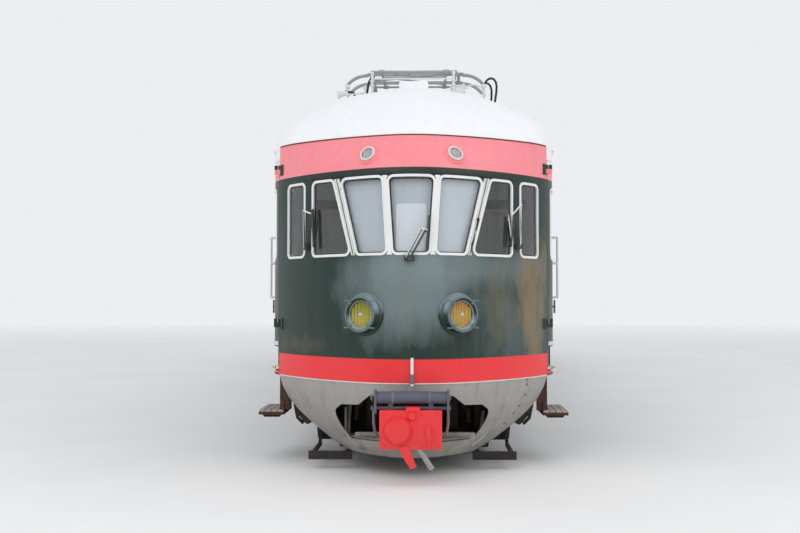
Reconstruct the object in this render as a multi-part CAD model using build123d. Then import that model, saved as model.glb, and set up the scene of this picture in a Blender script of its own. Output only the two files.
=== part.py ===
from build123d import *
from math import atan2, cos, radians, sin, sqrt
import os

# Driving motor coach of an electric multiple unit, in millimetres.
# X is across the car, Y along it with the cab nose towards -Y, Z up.
# Heights that end in _H are above the rail head. Places that end in _T are behind the nose tip.

# Car body
BODY_LENGTH = 22500.0
HALF_WIDTH = 1470.0
WALL = 70.0
BODY_BOTTOM_H = 862.0
FLOOR_H = 1140.0
FLOOR_THICK = 60.0
CANTRAIL_H = 3205.0
SEAT_GAP = 0.3          # running or fitting clearance between neighbours
SWING_GAP = 6.0         # clearance round a moving door leaf

# Roof section: a small eave arc, then one wide arc, flat along the crown
EAVE_RADIUS = 300.0
ROOF_RADIUS = 2400.0
ROOF_TOP_H = 3940.0
CROWN_H = 3920.0

# Nose plan: one arc across the front, a flat cheek arc and a shoulder arc each side, all tangent
FRONT_ARC_RADIUS = 800.0
CHEEK_ARC_RADIUS = 2900.0
SHOULDER_ARC_RADIUS = 900.0
NOSE_DEPTH = 1597.6
SEAM_T = 1190.0
DOME_BACK_T = 2600.0
TOP_LEAN = 375.0
# Height and how far the face leans back there
NOSE_LEVELS = [
    (BODY_BOTTOM_H, 0.0), (2040.0, 30.0), (2810.0, 120.0), (2950.0, 178.0), (3080.0, 260.0),
    (CANTRAIL_H, TOP_LEAN),
]
DOME_LEVELS_H = [CANTRAIL_H, 3330.0, 3480.0, 3620.0, 3760.0, 3870.0, CROWN_H]
# Quarter ellipse of the dome's centre line
DOME_CREST_T = 2100.0
DOME_CENTRE_H = 2500.0

# Skirt bowl under the nose: height, half width, how far it is set back
SKIRT_THICK = 30.0
SKIRT_LEVELS = [
    (BODY_BOTTOM_H, 1466.0, 4.0),
    (750.0, 1404.0, 8.0),
    (630.0, 1308.0, 18.0),
    (500.0, 1169.0, 40.0),
    (390.0, 1025.0, 75.0),
    (250.0, 811.0, 140.0),
    (165.0, 650.0, 215.0),
]
# Half outline of the skirt's hole as x and height
SKIRT_HOLE = [
    (388.0, 750.0), (493.0, 658.0), (663.0, 650.0), (730.0, 591.0), (720.0, 535.0),
    (683.0, 455.0), (627.0, 376.0), (571.0, 315.0),
]
SKIRT_HOLE_CORNER = 40.0
# Flat tray that closes the bowl behind the hole
TRAY_HALF = 640.0
TRAY_T = (240.0, 760.0)
TRAY_H = (322.0, 336.0)

# Front windows, as the glass shows from the front: |x| of the four corners
FRONT_GLASS_BOTTOM_H = 2064.0
FRONT_GLASS_TOP_H = 2770.0
# columns: name, inner top, outer top, inner bottom, outer bottom
FRONT_PANES = [
    ("centre", -210.0, 210.0, -161.0, 161.0),
    ("inner", 277.0, 669.0, 232.0, 501.0),
    ("outer", 762.0, 965.0, 578.0, 960.0),
    ("quarter", 1069.0, 1249.0, 1065.0, 1247.0),
]
FRAME_WIDTH = 24.0
FRAME_PROUD = 8.0
FRAME_DEEP = 26.0
PANE_CORNER = 42.0
GLASS_THICK = 8.0
GLASS_SET_IN = 10.0

# Saloon windows
SIDE_GLASS_LENGTH = 1000.0
SIDE_GLASS_BOTTOM_H = 2040.0
SIDE_GLASS_HEIGHT = 720.0
SIDE_FRAME_PROUD = 6.0
BAY = 1400.0
# columns: first window centre behind the nose tip, number of windows
WINDOW_ROWS = [(3450.0, 5), (13500.0, 6)]

# Cab door
CAB_DOOR_T = 1200.0
CAB_DOOR_LENGTH = 600.0
CAB_DOOR_THICK = 45.0
CAB_DOOR_BOTTOM_H = 1150.0
CAB_DOOR_TOP_H = 3060.0
HINGE_PIN_RADIUS = 11.0
HINGE_EYE_RADIUS = 24.0
HINGE_STANDOFF = 34.0
HINGE_LENGTH = 90.0
HINGE_HEIGHTS_H = [1395.0, 2970.0]
DOOR_RECESS_BOTTOM_H = 930.0
DOOR_SILL_H = 922.0
DOOR_SILL_THICK = 17.0
DOOR_SILL_PROUD = 28.0
CAB_STEP_H = 480.0
CAB_STEP_T = (1240.0, 1860.0)
CAB_STEP_X = (1330.0, 1590.0)
CAB_RAIL_T = 1890.0

# Entrance with two sliding leaves
ENTRANCE_T = 11250.0
ENTRANCE_HALF = 640.0
ENTRANCE_TOP_H = 3080.0
LEAF_THICK = 34.0
LEAF_OVERLAP = 40.0
LEAF_GAP = 6.0
POCKET_GAP = 6.0

# End wall and gangway
GANGWAY_DOOR_HALF = 375.0
GANGWAY_DOOR_TOP_H = 3020.0
GANGWAY_DEPTH = 200.0
END_DOOR_THICK = 40.0
END_DOOR_TRAVEL = 770.0

# Couplers
COUPLER_H = 479.0
COUPLER_REACH = 300.0
COUPLER_PIVOT_T = 950.0
COUPLER_PIN_RADIUS = 38.0
COUPLER_EYE_RADIUS = 85.0
SHANK_RADIUS = 72.0
HEAD_WIDTH = 556.0
HEAD_HEIGHT = 344.0
HEAD_DEPTH = 235.0

# Bogies and wheels
GAUGE = 1435.0
WHEEL_RADIUS = 475.0
FLANGE_DEPTH = 28.0
WHEELBASE = 2700.0
BOGIE_TS = [3500.0, 19100.0]
AXLE_RADIUS = 85.0
JOURNAL_RADIUS = 65.0
FRAME_X = 1040.0
BOGIE_FRAME_THICK = 90.0
BOGIE_TOP_H = 880.0
SIDE_DEPTH = 150.0
BOLSTER_TOP_H = 1030.0
PIVOT_RADIUS = 75.0

PIVOT_LENGTH = 150.0
CENTRE_PLATE_RADIUS = 230.0
BEARER_X = 760.0
BEARER_RADIUS = 110.0

# Underframe
SOLEBAR_X = 1185.0
SOLEBAR_FRONT_T = 1020.0
SOLEBAR_BOTTOM_H = 990.0
CROSS_BEAM_TS = [1180.0, 6300.0, 8250.0, 10150.0, 12400.0, 14400.0, 16400.0, 22240.0]

# Pantograph, diamond form, folded
PANTO_T = 3500.0
PANTO_BASE_H = 4075.0
PANTO_SPREAD = 250.0
PANTO_ARM = 1250.0
PANTO_FOLDED = 4.0
PANTO_HALF = 460.0
PANTO_UPPER_HALF = 360.0
PANTO_TUBE = 25.0
PANTO_KNEE_TUBE = 16.0
PANTO_HEAD_TUBE = 13.0
COLLECTOR_H = 4415.0
COLLECTOR_STRIP_HALF = 600.0
COLLECTOR_HALF_WIDE = 22.0
COLLECTOR_THICK = 26.0
HORN_RADIUS = 20.0
# Centre line of a downturned horn as x and drop below the strip's top
HORN_POINTS = [(575.0, 23.0), (650.0, 28.0), (730.0, 54.0), (795.0, 97.0), (845.0, 152.0)]

TIP_Y = -BODY_LENGTH / 2
INNER_HALF = HALF_WIDTH - WALL
FLOOR_BOTTOM_H = FLOOR_H - FLOOR_THICK


# Small helpers
def up(height):
    return FLANGE_DEPTH + height


def aft(distance):
    return TIP_Y + distance


def block(x, t, h):
    """Box between pairs: x across, t behind the nose tip, h above the rail."""
    size = (x[1] - x[0], t[1] - t[0], h[1] - h[0])
    middle = ((x[0] + x[1]) / 2, aft((t[0] + t[1]) / 2), up((h[0] + h[1]) / 2))
    return Pos(*middle) * Box(*size)


def rod(start, end, radius):
    """Round bar between two points given as x, t, h."""
    a = Vector(start[0], aft(start[1]), up(start[2]))
    b = Vector(end[0], aft(end[1]), up(end[2]))
    along = b - a
    plane = Plane(origin=a, z_dir=along)
    return extrude(plane * Circle(radius), along.length)


def profile(plane, points, depth):
    return extrude(plane * make_face(Polyline(*points, close=True)), depth)


def side_profile(points, x):
    """Outline in t and h, extruded from x[0] to x[1]."""
    plane = Plane(origin=(x[0], 0, 0), x_dir=(0, 1, 0), z_dir=(1, 0, 0))
    return profile(plane, [(aft(t), up(h)) for t, h in points], x[1] - x[0])


def front_profile(points, t):
    """Outline in x and h, extruded from t[0] to t[1]."""
    plane = Plane(origin=(0, aft(t[0]), 0), x_dir=(1, 0, 0), z_dir=(0, -1, 0))
    return profile(plane, [(x, up(h)) for x, h in points], t[0] - t[1])


def turned(points, origin, direction, across):
    """Solid of revolution: points are (along the axis, radius)."""
    plane = Plane(origin=origin, x_dir=direction, z_dir=across)
    face = plane * make_face(Polyline(*points, close=True))
    return revolve(face, Axis(origin, direction), 360)


def both_sides(shape):
    return [shape, mirror(shape, Plane.YZ)]


def save(name, *pieces):
    solids = []
    for piece in pieces:
        solids += piece.solids()
    whole = solids[0] if len(solids) == 1 else Compound(children=solids)
    export_step(whole, f"parts/{name}.step")


# Nose form
def lean(height):
    """How far the face has leant back at a height above the rail."""
    height = min(max(height, NOSE_LEVELS[0][0]), NOSE_LEVELS[-1][0])
    for (low, low_lean), (high, high_lean) in zip(NOSE_LEVELS, NOSE_LEVELS[1:]):
        if height <= high:
            return low_lean + (high_lean - low_lean) * (height - low) / (high - low)


def nose_centres(back):
    """Centres of the front, cheek and shoulder arcs when the face is set back."""
    front = Vector(0, back + FRONT_ARC_RADIUS)
    shoulder = Vector(HALF_WIDTH - SHOULDER_ARC_RADIUS, NOSE_DEPTH)
    to_front = CHEEK_ARC_RADIUS - FRONT_ARC_RADIUS
    to_shoulder = CHEEK_ARC_RADIUS - SHOULDER_ARC_RADIUS
    span = (shoulder - front).length
    along = (to_front**2 - to_shoulder**2 + span**2) / (2 * span)
    aside = sqrt(to_front**2 - along**2)
    way = (shoulder - front).normalized()
    cheek = front + way * along + Vector(-way.Y, way.X) * aside
    return front, cheek, shoulder


def nose_face_t(x, height):
    """Where the outer skin lies behind the nose tip."""
    front, cheek, shoulder = nose_centres(lean(height))
    brow = cheek + (front - cheek).normalized() * CHEEK_ARC_RADIUS
    temple = cheek + (shoulder - cheek).normalized() * CHEEK_ARC_RADIUS
    x = abs(x)
    if x <= brow.X:
        return front.Y - sqrt(FRONT_ARC_RADIUS**2 - x**2)
    if x <= temple.X:
        return cheek.Y - sqrt(CHEEK_ARC_RADIUS**2 - (x - cheek.X) ** 2)
    return shoulder.Y - sqrt(SHOULDER_ARC_RADIUS**2 - (x - shoulder.X) ** 2)


def nose_face_x(t):
    """Outer skin beside the cab, from the seam back."""
    if t >= NOSE_DEPTH:
        return HALF_WIDTH
    return HALF_WIDTH - SHOULDER_ARC_RADIUS + sqrt(SHOULDER_ARC_RADIUS**2 - (NOSE_DEPTH - t) ** 2)


def nose_plan(back, inset, height, rear_t, size=1.0, shift=0.0):
    """Plan outline of the nose, inset evenly, closed straight across at rear_t."""
    front, cheek, shoulder = [
        centre * size + Vector(0, shift) for centre in nose_centres(back)
    ]
    front_way = (front - cheek).normalized()
    shoulder_way = (shoulder - cheek).normalized()
    cheek_radius = CHEEK_ARC_RADIUS * size - inset
    shoulder_radius = SHOULDER_ARC_RADIUS * size - inset
    tip = front - Vector(0, FRONT_ARC_RADIUS * size - inset)
    brow = cheek + front_way * cheek_radius
    cheek_middle = cheek + (front_way + shoulder_way).normalized() * cheek_radius
    temple = cheek + shoulder_way * cheek_radius
    shoulder_middle = shoulder + (shoulder_way + Vector(1, 0)).normalized() * shoulder_radius
    side = shoulder + Vector(shoulder_radius, 0)
    rear = Vector(side.X, rear_t)

    def at(point, sign=1):
        return (sign * point.X, aft(point.Y))

    outline = (
        ThreePointArc(at(brow, -1), at(tip), at(brow))
        + ThreePointArc(at(brow), at(cheek_middle), at(temple))
        + ThreePointArc(at(temple), at(shoulder_middle), at(side))
        + Polyline(at(side), at(rear), at(rear, -1), at(side, -1))
        + ThreePointArc(at(side, -1), at(shoulder_middle, -1), at(temple, -1))
        + ThreePointArc(at(temple, -1), at(cheek_middle, -1), at(brow, -1))
    )
    return Plane(origin=(0, 0, up(height))) * make_face(outline)


def nose_form(inset, rear_t=DOME_BACK_T):
    """Solid block of the nose up to the cantrail, inset evenly from the skin."""
    sections = [nose_plan(back, inset, height, rear_t) for height, back in NOSE_LEVELS]
    return loft(sections, ruled=True)


def roof_half_width(height, inset=0.0):
    """Half width of the roof section at a height, for the skin or a skin inset inwards."""
    roof_centre = ROOF_TOP_H - ROOF_RADIUS
    reach = ROOF_RADIUS - EAVE_RADIUS
    eave_x = HALF_WIDTH - EAVE_RADIUS
    eave_h = roof_centre + sqrt(reach**2 - eave_x**2)
    join_h = roof_centre + (eave_h - roof_centre) * (ROOF_RADIUS - inset) / reach
    if height <= eave_h:
        return HALF_WIDTH - inset
    if height <= join_h:
        return eave_x + sqrt((EAVE_RADIUS - inset) ** 2 - (height - eave_h) ** 2)
    return sqrt((ROOF_RADIUS - inset) ** 2 - (height - roof_centre) ** 2)


def dome_front_t(height):
    """Front of the dome on the centre line, a quarter ellipse that starts at the nose top."""
    rise = (height - DOME_CENTRE_H) / (ROOF_TOP_H - DOME_CENTRE_H)
    first_rise = (CANTRAIL_H - DOME_CENTRE_H) / (ROOF_TOP_H - DOME_CENTRE_H)
    run = (DOME_CREST_T - TOP_LEAN) / sqrt(1 - first_rise**2)
    return DOME_CREST_T - run * sqrt(1 - rise**2)


def dome_form(inset):
    """Solid of the roof dome: nose plans that shrink towards the crown."""
    sections = []
    for height in DOME_LEVELS_H:
        size = roof_half_width(height) / HALF_WIDTH
        shift = dome_front_t(height) - TOP_LEAN * size
        sections.append(nose_plan(TOP_LEAN, inset, height - inset, DOME_BACK_T, size, shift))
    return loft(sections)


def roof_section(inset, base_h):
    """Face of the roof's cross-section above base_h, inset evenly."""
    roof_centre = ROOF_TOP_H - ROOF_RADIUS
    reach = ROOF_RADIUS - EAVE_RADIUS
    eave_x = HALF_WIDTH - EAVE_RADIUS
    eave_h = roof_centre + sqrt(reach**2 - eave_x**2)
    lift = atan2(eave_h - roof_centre, eave_x)
    side = HALF_WIDTH - inset
    eave = EAVE_RADIUS - inset
    join = (eave_x + eave * cos(lift), eave_h + eave * sin(lift))
    middle = (eave_x + eave * cos(lift / 2), eave_h + eave * sin(lift / 2))
    crown_h = CROWN_H - inset
    crown_x = roof_half_width(crown_h, inset)
    turn = (lift + atan2(crown_h - roof_centre, crown_x)) / 2
    upper = ((ROOF_RADIUS - inset) * cos(turn), roof_centre + (ROOF_RADIUS - inset) * sin(turn))

    def at(point, sign=1):
        return (sign * point[0], up(point[1]))

    edges = Line(at((crown_x, crown_h), -1), at((crown_x, crown_h)))
    edges += ThreePointArc(at((crown_x, crown_h)), at(upper), at(join))
    edges += ThreePointArc(at(join), at(middle), at((side, eave_h)))
    edges += Polyline(
        at((side, eave_h)), at((side, base_h)), at((side, base_h), -1), at((side, eave_h), -1)
    )
    edges += ThreePointArc(at((side, eave_h), -1), at(middle, -1), at(join, -1))
    edges += ThreePointArc(at(join, -1), at(upper, -1), at((crown_x, crown_h), -1))
    return make_face(edges)


def roof_prism(inset, base_h, t):
    plane = Plane(origin=(0, aft(t[0]), 0), x_dir=(1, 0, 0), z_dir=(0, -1, 0))
    return extrude(plane * roof_section(inset, base_h), t[0] - t[1])


# Front windows
def pane_face(pane, grow, sign):
    """Rounded window outline on a plane square to the skin at the window's middle."""
    _, inner_top, outer_top, inner_bottom, outer_bottom = pane
    corners = [
        (inner_bottom, FRONT_GLASS_BOTTOM_H), (outer_bottom, FRONT_GLASS_BOTTOM_H),
        (outer_top, FRONT_GLASS_TOP_H), (inner_top, FRONT_GLASS_TOP_H),
    ]
    points = [Vector(sign * x, aft(nose_face_t(x, h)), up(h)) for x, h in corners]
    middle = (points[0] + points[1] + points[2] + points[3]) / 4
    across = points[1] + points[2] - points[0] - points[3]
    normal = across.cross(points[2] + points[3] - points[0] - points[1])
    if normal.Y > 0:
        normal = normal * -1
    plane = Plane(origin=middle, x_dir=across, z_dir=normal)
    flat = [plane.to_local_coords(point) for point in points]
    face = make_face(Polyline(*[(p.X, p.Y) for p in flat], close=True))
    face = fillet(face.vertices(), PANE_CORNER)
    if grow:
        face = offset(face, grow, kind=Kind.ARC)
    return plane * face


def pane_cut(pane, grow, sign):
    return extrude(pane_face(pane, grow, sign), 260, both=True)


def front_panes():
    """Every front window as (pane, side)."""
    placed = [(FRONT_PANES[0], 1)]
    for pane in FRONT_PANES[1:]:
        placed += [(pane, 1), (pane, -1)]
    return placed


def window_centres():
    return [first + BAY * i for first, count in WINDOW_ROWS for i in range(count)]


def side_window(t, grow, x):
    """Rounded saloon window block centred at t."""
    plane = Plane(origin=(x[0], aft(t), up(SIDE_GLASS_BOTTOM_H + SIDE_GLASS_HEIGHT / 2)),
                  x_dir=(0, 1, 0), z_dir=(1, 0, 0))
    outline = RectangleRounded(
        SIDE_GLASS_LENGTH + 2 * grow, SIDE_GLASS_HEIGHT + 2 * grow, PANE_CORNER + grow
    )
    return extrude(plane * outline, x[1] - x[0])


# Nose pieces
def hinge_axis_x():
    """Door hinge pin, just outside the skin at the seam."""
    return nose_face_x(SEAM_T) + HINGE_STANDOFF


def hinge_leaf(height, lower, t):
    """Half of an outside hinge: an eye round the pin and a strap to the skin."""
    x = hinge_axis_x()
    low = height - HINGE_LENGTH / 2 if lower else height + SEAT_GAP
    high = height if lower else height + HINGE_LENGTH / 2
    eye = rod((x, SEAM_T + 5, low), (x, SEAM_T + 5, high), HINGE_EYE_RADIUS)
    strap = block((x - HINGE_STANDOFF - 25, x), t, (low, high))
    return eye + strap


def make_nose():
    skin = nose_form(0)
    hollow = nose_form(WALL)
    shell = skin - hollow
    shell &= block((-HALF_WIDTH, HALF_WIDTH), (-10, SEAM_T), (NOSE_LEVELS[0][0], CANTRAIL_H))
    for pane, sign in front_panes():
        shell -= pane_cut(pane, FRAME_WIDTH + SEAT_GAP, sign)
    for height in HINGE_HEIGHTS_H:
        x = hinge_axis_x()
        fixed = hinge_leaf(height, True, (SEAM_T - 35, SEAM_T + 5))
        fixed += rod((x, SEAM_T + 5, height), (x, SEAM_T + 5, height + HINGE_LENGTH / 2),
                     HINGE_PIN_RADIUS)
        fixed -= block((0, x - 20), (SEAM_T, SEAM_T + 60), (0, ROOF_TOP_H))
        for piece in both_sides(fixed):
            shell += piece
    save("nose_shell", shell)

    rings = []
    glass = []
    for pane, sign in front_panes():
        outer = pane_cut(pane, FRAME_WIDTH, sign)
        inner = pane_cut(pane, 0, sign)
        rings.append((outer - inner) & (nose_form(-FRAME_PROUD) - nose_form(FRAME_DEEP)))
        sheet = nose_form(GLASS_SET_IN) - nose_form(GLASS_SET_IN + GLASS_THICK)
        glass.append(pane_cut(pane, -SEAT_GAP, sign) & sheet)
    save("windscreen_frames", *rings)
    save("windscreen_glass", *glass)


def skirt_form(inset):
    """Bowl under the nose: nose plans that shrink and draw back as they go down."""
    sections = []
    for height, half, back in SKIRT_LEVELS:
        raised = inset if height < BODY_BOTTOM_H else 0
        sections.append(nose_plan(0, inset, height + raised, DOME_BACK_T, half / HALF_WIDTH, back))
    return loft(sections, ruled=True)


def make_skirt():
    bowl = skirt_form(0) - skirt_form(SKIRT_THICK)
    bowl &= block((-HALF_WIDTH, HALF_WIDTH), (-10, SEAM_T), (0, NOSE_LEVELS[0][0]))
    outline = SKIRT_HOLE + [(-x, h) for x, h in reversed(SKIRT_HOLE)]
    face = make_face(Polyline(*[(x, up(h)) for x, h in outline], close=True))
    face = fillet(face.vertices(), SKIRT_HOLE_CORNER)
    plane = Plane(origin=(0, aft(-20), 0), x_dir=(1, 0, 0), z_dir=(0, -1, 0))
    hole = extrude(plane * face, -720)
    tray = skirt_form(SKIRT_THICK / 2) & block((-TRAY_HALF, TRAY_HALF), TRAY_T, TRAY_H)
    save("nose_skirt", bowl - hole + tray)


def make_dome():
    shell = dome_form(0) - dome_form(WALL)
    shell &= block((-HALF_WIDTH, HALF_WIDTH), (-10, DOME_BACK_T), (CANTRAIL_H, CROWN_H))
    save("roof_dome", shell)


# Lamps on the nose
def skin_plane(x, height):
    """Plane on the skin that looks straight out of it."""
    step = 5.0
    here = Vector(x, aft(nose_face_t(x, height)), up(height))
    beside = Vector(x + step, aft(nose_face_t(x + step, height)), up(height))
    above = Vector(x, aft(nose_face_t(x, height + step)), up(height + step))
    normal = (beside - here).cross(above - here)
    return Plane(origin=here, x_dir=beside - here, z_dir=normal)


HEADLAMP_X = 432.0
HEADLAMP_H = 1497.0
HEADLAMP_FLANGE_RADIUS = 200.0
HEADLAMP_BASE_RADIUS = 175.0
HEADLAMP_RIM_RADIUS = 159.0
HEADLAMP_RIM_WIDTH = 14.0
HEADLAMP_LENS_RADIUS = 120.0
HEADLAMP_REACH = 85.0
HEADLAMP_LENS_IN = 25.0         # lens edge behind the rim
HEADLAMP_BOWL_DEEP = 60.0
MARKER_X = 406.0
MARKER_H = 3002.0
MARKER_BASE_RADIUS = 90.0
MARKER_RIM_RADIUS = 74.0
MARKER_LENS_RADIUS = 58.0
MARKER_REACH = 30.0
MARKER_BOWL_DEEP = 18.0


def headlamp_outlines():
    """Housing and lens sections of a headlamp as (along, radius)."""
    bowl = HEADLAMP_REACH - HEADLAMP_BOWL_DEEP
    edge = HEADLAMP_REACH - HEADLAMP_LENS_IN
    lens_gap = HEADLAMP_LENS_RADIUS + SEAT_GAP
    housing = [
        (-60, 0), (-60, HEADLAMP_FLANGE_RADIUS), (8, HEADLAMP_FLANGE_RADIUS),
        (14, HEADLAMP_BASE_RADIUS), (HEADLAMP_REACH - 20, HEADLAMP_RIM_RADIUS),
        (HEADLAMP_REACH, HEADLAMP_RIM_RADIUS),
        (HEADLAMP_REACH, HEADLAMP_RIM_RADIUS - HEADLAMP_RIM_WIDTH), (edge, lens_gap),
        (bowl, lens_gap), (bowl, 0),
    ]
    lens = [
        (bowl + SEAT_GAP, 0), (bowl + SEAT_GAP, HEADLAMP_LENS_RADIUS),
        (edge - 10, HEADLAMP_LENS_RADIUS), (edge - 2, HEADLAMP_LENS_RADIUS * 0.66), (edge + 3, 0),
    ]
    return housing, lens


def marker_outlines():
    """Housing and lens sections of an upper marker lamp as (along, radius)."""
    bowl = MARKER_REACH - MARKER_BOWL_DEEP
    lens_gap = MARKER_LENS_RADIUS + SEAT_GAP
    housing = [
        (-60, 0), (-60, MARKER_BASE_RADIUS), (-6, MARKER_BASE_RADIUS),
        (MARKER_REACH - 4, MARKER_RIM_RADIUS + 4), (MARKER_REACH, MARKER_RIM_RADIUS),
        (MARKER_REACH, lens_gap), (bowl, lens_gap), (bowl, 0),
    ]
    lens = [
        (bowl + SEAT_GAP, 0), (bowl + SEAT_GAP, MARKER_LENS_RADIUS),
        (MARKER_REACH - 6, MARKER_LENS_RADIUS), (MARKER_REACH + 4, MARKER_LENS_RADIUS * 0.6),
        (MARKER_REACH + 7, 0),
    ]
    return housing, lens


def make_lamps():
    body_form = nose_form(-SEAT_GAP)
    places = [
        (HEADLAMP_X, HEADLAMP_H, headlamp_outlines()), (MARKER_X, MARKER_H, marker_outlines()),
    ]
    housings = []
    lenses = []
    for x, height, (housing, lens) in places:
        for sign in (-1, 1):
            plane = skin_plane(sign * x, height)
            housings.append(turned(housing, plane.origin, plane.z_dir, plane.y_dir) - body_form)
            lenses.append(turned(lens, plane.origin, plane.z_dir, plane.y_dir))
    save("lamp_housings", *housings)
    save("lamp_lenses", *lenses)


# columns: pivot x, pivot h, arm tip x, arm tip h, blade from x, h, blade to x, h
WIPERS = [
    (-10.0, 2008.0, 125.0, 2262.0, 160.0, 2400.0, 134.0, 2090.0),
    (-1012.0, 2135.0, -965.0, 2440.0, -945.0, 2500.0, -925.0, 2140.0),
    (1012.0, 2150.0, 985.0, 2450.0, 957.0, 2440.0, 929.0, 2147.0),
]
WIPER_RADIUS = 9.0
WIPER_OFF = 40.0


def make_wipers():
    body_form = nose_form(-SEAT_GAP)
    wipers = []
    for pivot_x, pivot_h, tip_x, tip_h, top_x, top_h, low_x, low_h in WIPERS:
        pivot, tip, top, low = [
            skin_plane(x, h).offset(WIPER_OFF).origin
            for x, h in ((pivot_x, pivot_h), (tip_x, tip_h), (top_x, top_h), (low_x, low_h))
        ]
        nearest = low + (top - low) * 0.5
        boss_plane = skin_plane(pivot_x, pivot_h)
        boss = extrude(boss_plane.offset(-20) * Circle(22), WIPER_OFF + 20 + WIPER_RADIUS)
        wiper = boss - body_form
        for start, end in ((pivot, tip), (tip, nearest), (low, top)):
            along = end - start
            wiper += extrude(Plane(origin=start, z_dir=along) * Circle(WIPER_RADIUS), along.length)
            wiper += Pos(*end) * Sphere(WIPER_RADIUS + 2)
        wipers.append(wiper)
    save("wipers", *wipers)


# Side walls, roof, floor and end
def entrance_edges():
    return ENTRANCE_T - ENTRANCE_HALF, ENTRANCE_T + ENTRANCE_HALF


def cab_door_zone(margin):
    """Block that the cab door leaf fills, grown by a margin all round."""
    return block(
        (HALF_WIDTH - 300, HALF_WIDTH + 60),
        (CAB_DOOR_T - margin, CAB_DOOR_T + CAB_DOOR_LENGTH + margin),
        (CAB_DOOR_BOTTOM_H - margin, CAB_DOOR_TOP_H + margin),
    )


def make_side_walls():
    rear_t = BODY_LENGTH - WALL
    curved = nose_form(0) - nose_form(WALL)
    curved &= block((0, HALF_WIDTH), (SEAM_T, DOME_BACK_T), (BODY_BOTTOM_H, CANTRAIL_H))
    straight = block((INNER_HALF, HALF_WIDTH), (DOME_BACK_T, rear_t), (BODY_BOTTOM_H, CANTRAIL_H))
    wall = curved + straight
    wall -= cab_door_zone(SWING_GAP)
    door_t = (CAB_DOOR_T, CAB_DOOR_T + CAB_DOOR_LENGTH)
    x = (0, HALF_WIDTH + 2 * DOOR_SILL_PROUD)
    recess = (DOOR_RECESS_BOTTOM_H, CAB_DOOR_BOTTOM_H - SWING_GAP + 1)
    wall -= (nose_form(-1) - nose_form(CAB_DOOR_THICK)) & block(x, door_t, recess)
    sill = (DOOR_SILL_H - DOOR_SILL_THICK, DOOR_SILL_H)
    wall += (nose_form(-DOOR_SILL_PROUD) - nose_form(SKIRT_THICK)) & block(x, door_t, sill)
    for t in window_centres():
        wall -= side_window(t, FRAME_WIDTH + SEAT_GAP, (INNER_HALF - 10, HALF_WIDTH + 10))
    front, rear = entrance_edges()
    wall -= block((INNER_HALF - 10, HALF_WIDTH + 10), (front, rear), (FLOOR_H, ENTRANCE_TOP_H))
    middle = (INNER_HALF + HALF_WIDTH) / 2
    half_pocket = LEAF_THICK / 2 + POCKET_GAP
    leaf = leaf_length()
    wall -= block(
        (middle - half_pocket, middle + half_pocket),
        (front - leaf - 12, rear + leaf + 12),
        (FLOOR_H, ENTRANCE_TOP_H + 20),
    )
    right, left = both_sides(wall)
    save("side_wall_right", right)
    save("side_wall_left", left)

    frames = []
    glass = []
    for t in window_centres():
        ring = side_window(t, FRAME_WIDTH, (INNER_HALF + 20, HALF_WIDTH + SIDE_FRAME_PROUD))
        ring -= side_window(t, 0, (INNER_HALF, HALF_WIDTH + 20))
        frames += both_sides(ring)
        centre = (INNER_HALF + HALF_WIDTH) / 2 + 10
        pane = side_window(t, -SEAT_GAP, (centre, centre + GLASS_THICK))
        glass += both_sides(pane)
    save("side_window_frames", *frames)
    save("side_window_glass", *glass)


def leaf_length():
    return ENTRANCE_HALF + LEAF_OVERLAP / 2


def make_entrance_doors():
    """Two sliding leaves a side, meeting at the middle of the entrance."""
    front, rear = entrance_edges()
    middle = (INNER_HALF + HALF_WIDTH) / 2
    x = (middle - LEAF_THICK / 2, middle + LEAF_THICK / 2)
    h = (FLOOR_H + SEAT_GAP, ENTRANCE_TOP_H + 10)
    spans = {
        "front": (front - LEAF_OVERLAP / 2, ENTRANCE_T - LEAF_GAP / 2),
        "rear": (ENTRANCE_T + LEAF_GAP / 2, rear + LEAF_OVERLAP / 2),
    }
    for name, t in spans.items():
        leaf = block(x, t, h)
        centre = (t[0] + t[1]) / 2
        window = Plane(origin=(x[0] - 5, aft(centre), up(SIDE_GLASS_BOTTOM_H + SIDE_GLASS_HEIGHT / 2)),
                       x_dir=(0, 1, 0), z_dir=(1, 0, 0))
        leaf -= extrude(window * RectangleRounded(300, SIDE_GLASS_HEIGHT, 60), LEAF_THICK + 10)
        right, left = both_sides(leaf)
        save(f"entrance_leaf_right_{name}", right)
        save(f"entrance_leaf_left_{name}", left)


def make_cab_doors():
    leaf = nose_form(0) - nose_form(CAB_DOOR_THICK)
    leaf &= cab_door_zone(0)
    plane = Plane(origin=(HALF_WIDTH - 300, aft(CAB_DOOR_T + CAB_DOOR_LENGTH / 2),
                          up((FRONT_GLASS_BOTTOM_H + FRONT_GLASS_TOP_H) / 2)),
                  x_dir=(0, 1, 0), z_dir=(1, 0, 0))
    window = RectangleRounded(CAB_DOOR_LENGTH - 220, FRONT_GLASS_TOP_H - FRONT_GLASS_BOTTOM_H, 50)
    leaf -= extrude(plane * window, 400)
    for height in HINGE_HEIGHTS_H:
        x = hinge_axis_x()
        moving = hinge_leaf(height, False, (SEAM_T + 5, CAB_DOOR_T + 80))
        moving -= nose_form(CAB_DOOR_THICK / 2)
        moving -= block((0, x - HINGE_STANDOFF + 4), (SEAM_T - 60, CAB_DOOR_T + 1), (0, ROOF_TOP_H))
        leaf += moving
        leaf -= rod((x, SEAM_T + 5, height - 50), (x, SEAM_T + 5, height + 60),
                    HINGE_PIN_RADIUS + SEAT_GAP)
    handle_h = 1560.0
    latch = CAB_DOOR_T + CAB_DOOR_LENGTH - 70
    leaf += rod((HALF_WIDTH - 20, latch, handle_h), (HALF_WIDTH + 45, latch, handle_h), 12)
    leaf += rod((HALF_WIDTH + 40, latch, handle_h - 70), (HALF_WIDTH + 40, latch, handle_h + 70), 11)
    right, left = both_sides(leaf)
    save("cab_door_right", right)
    save("cab_door_left", left)


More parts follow.
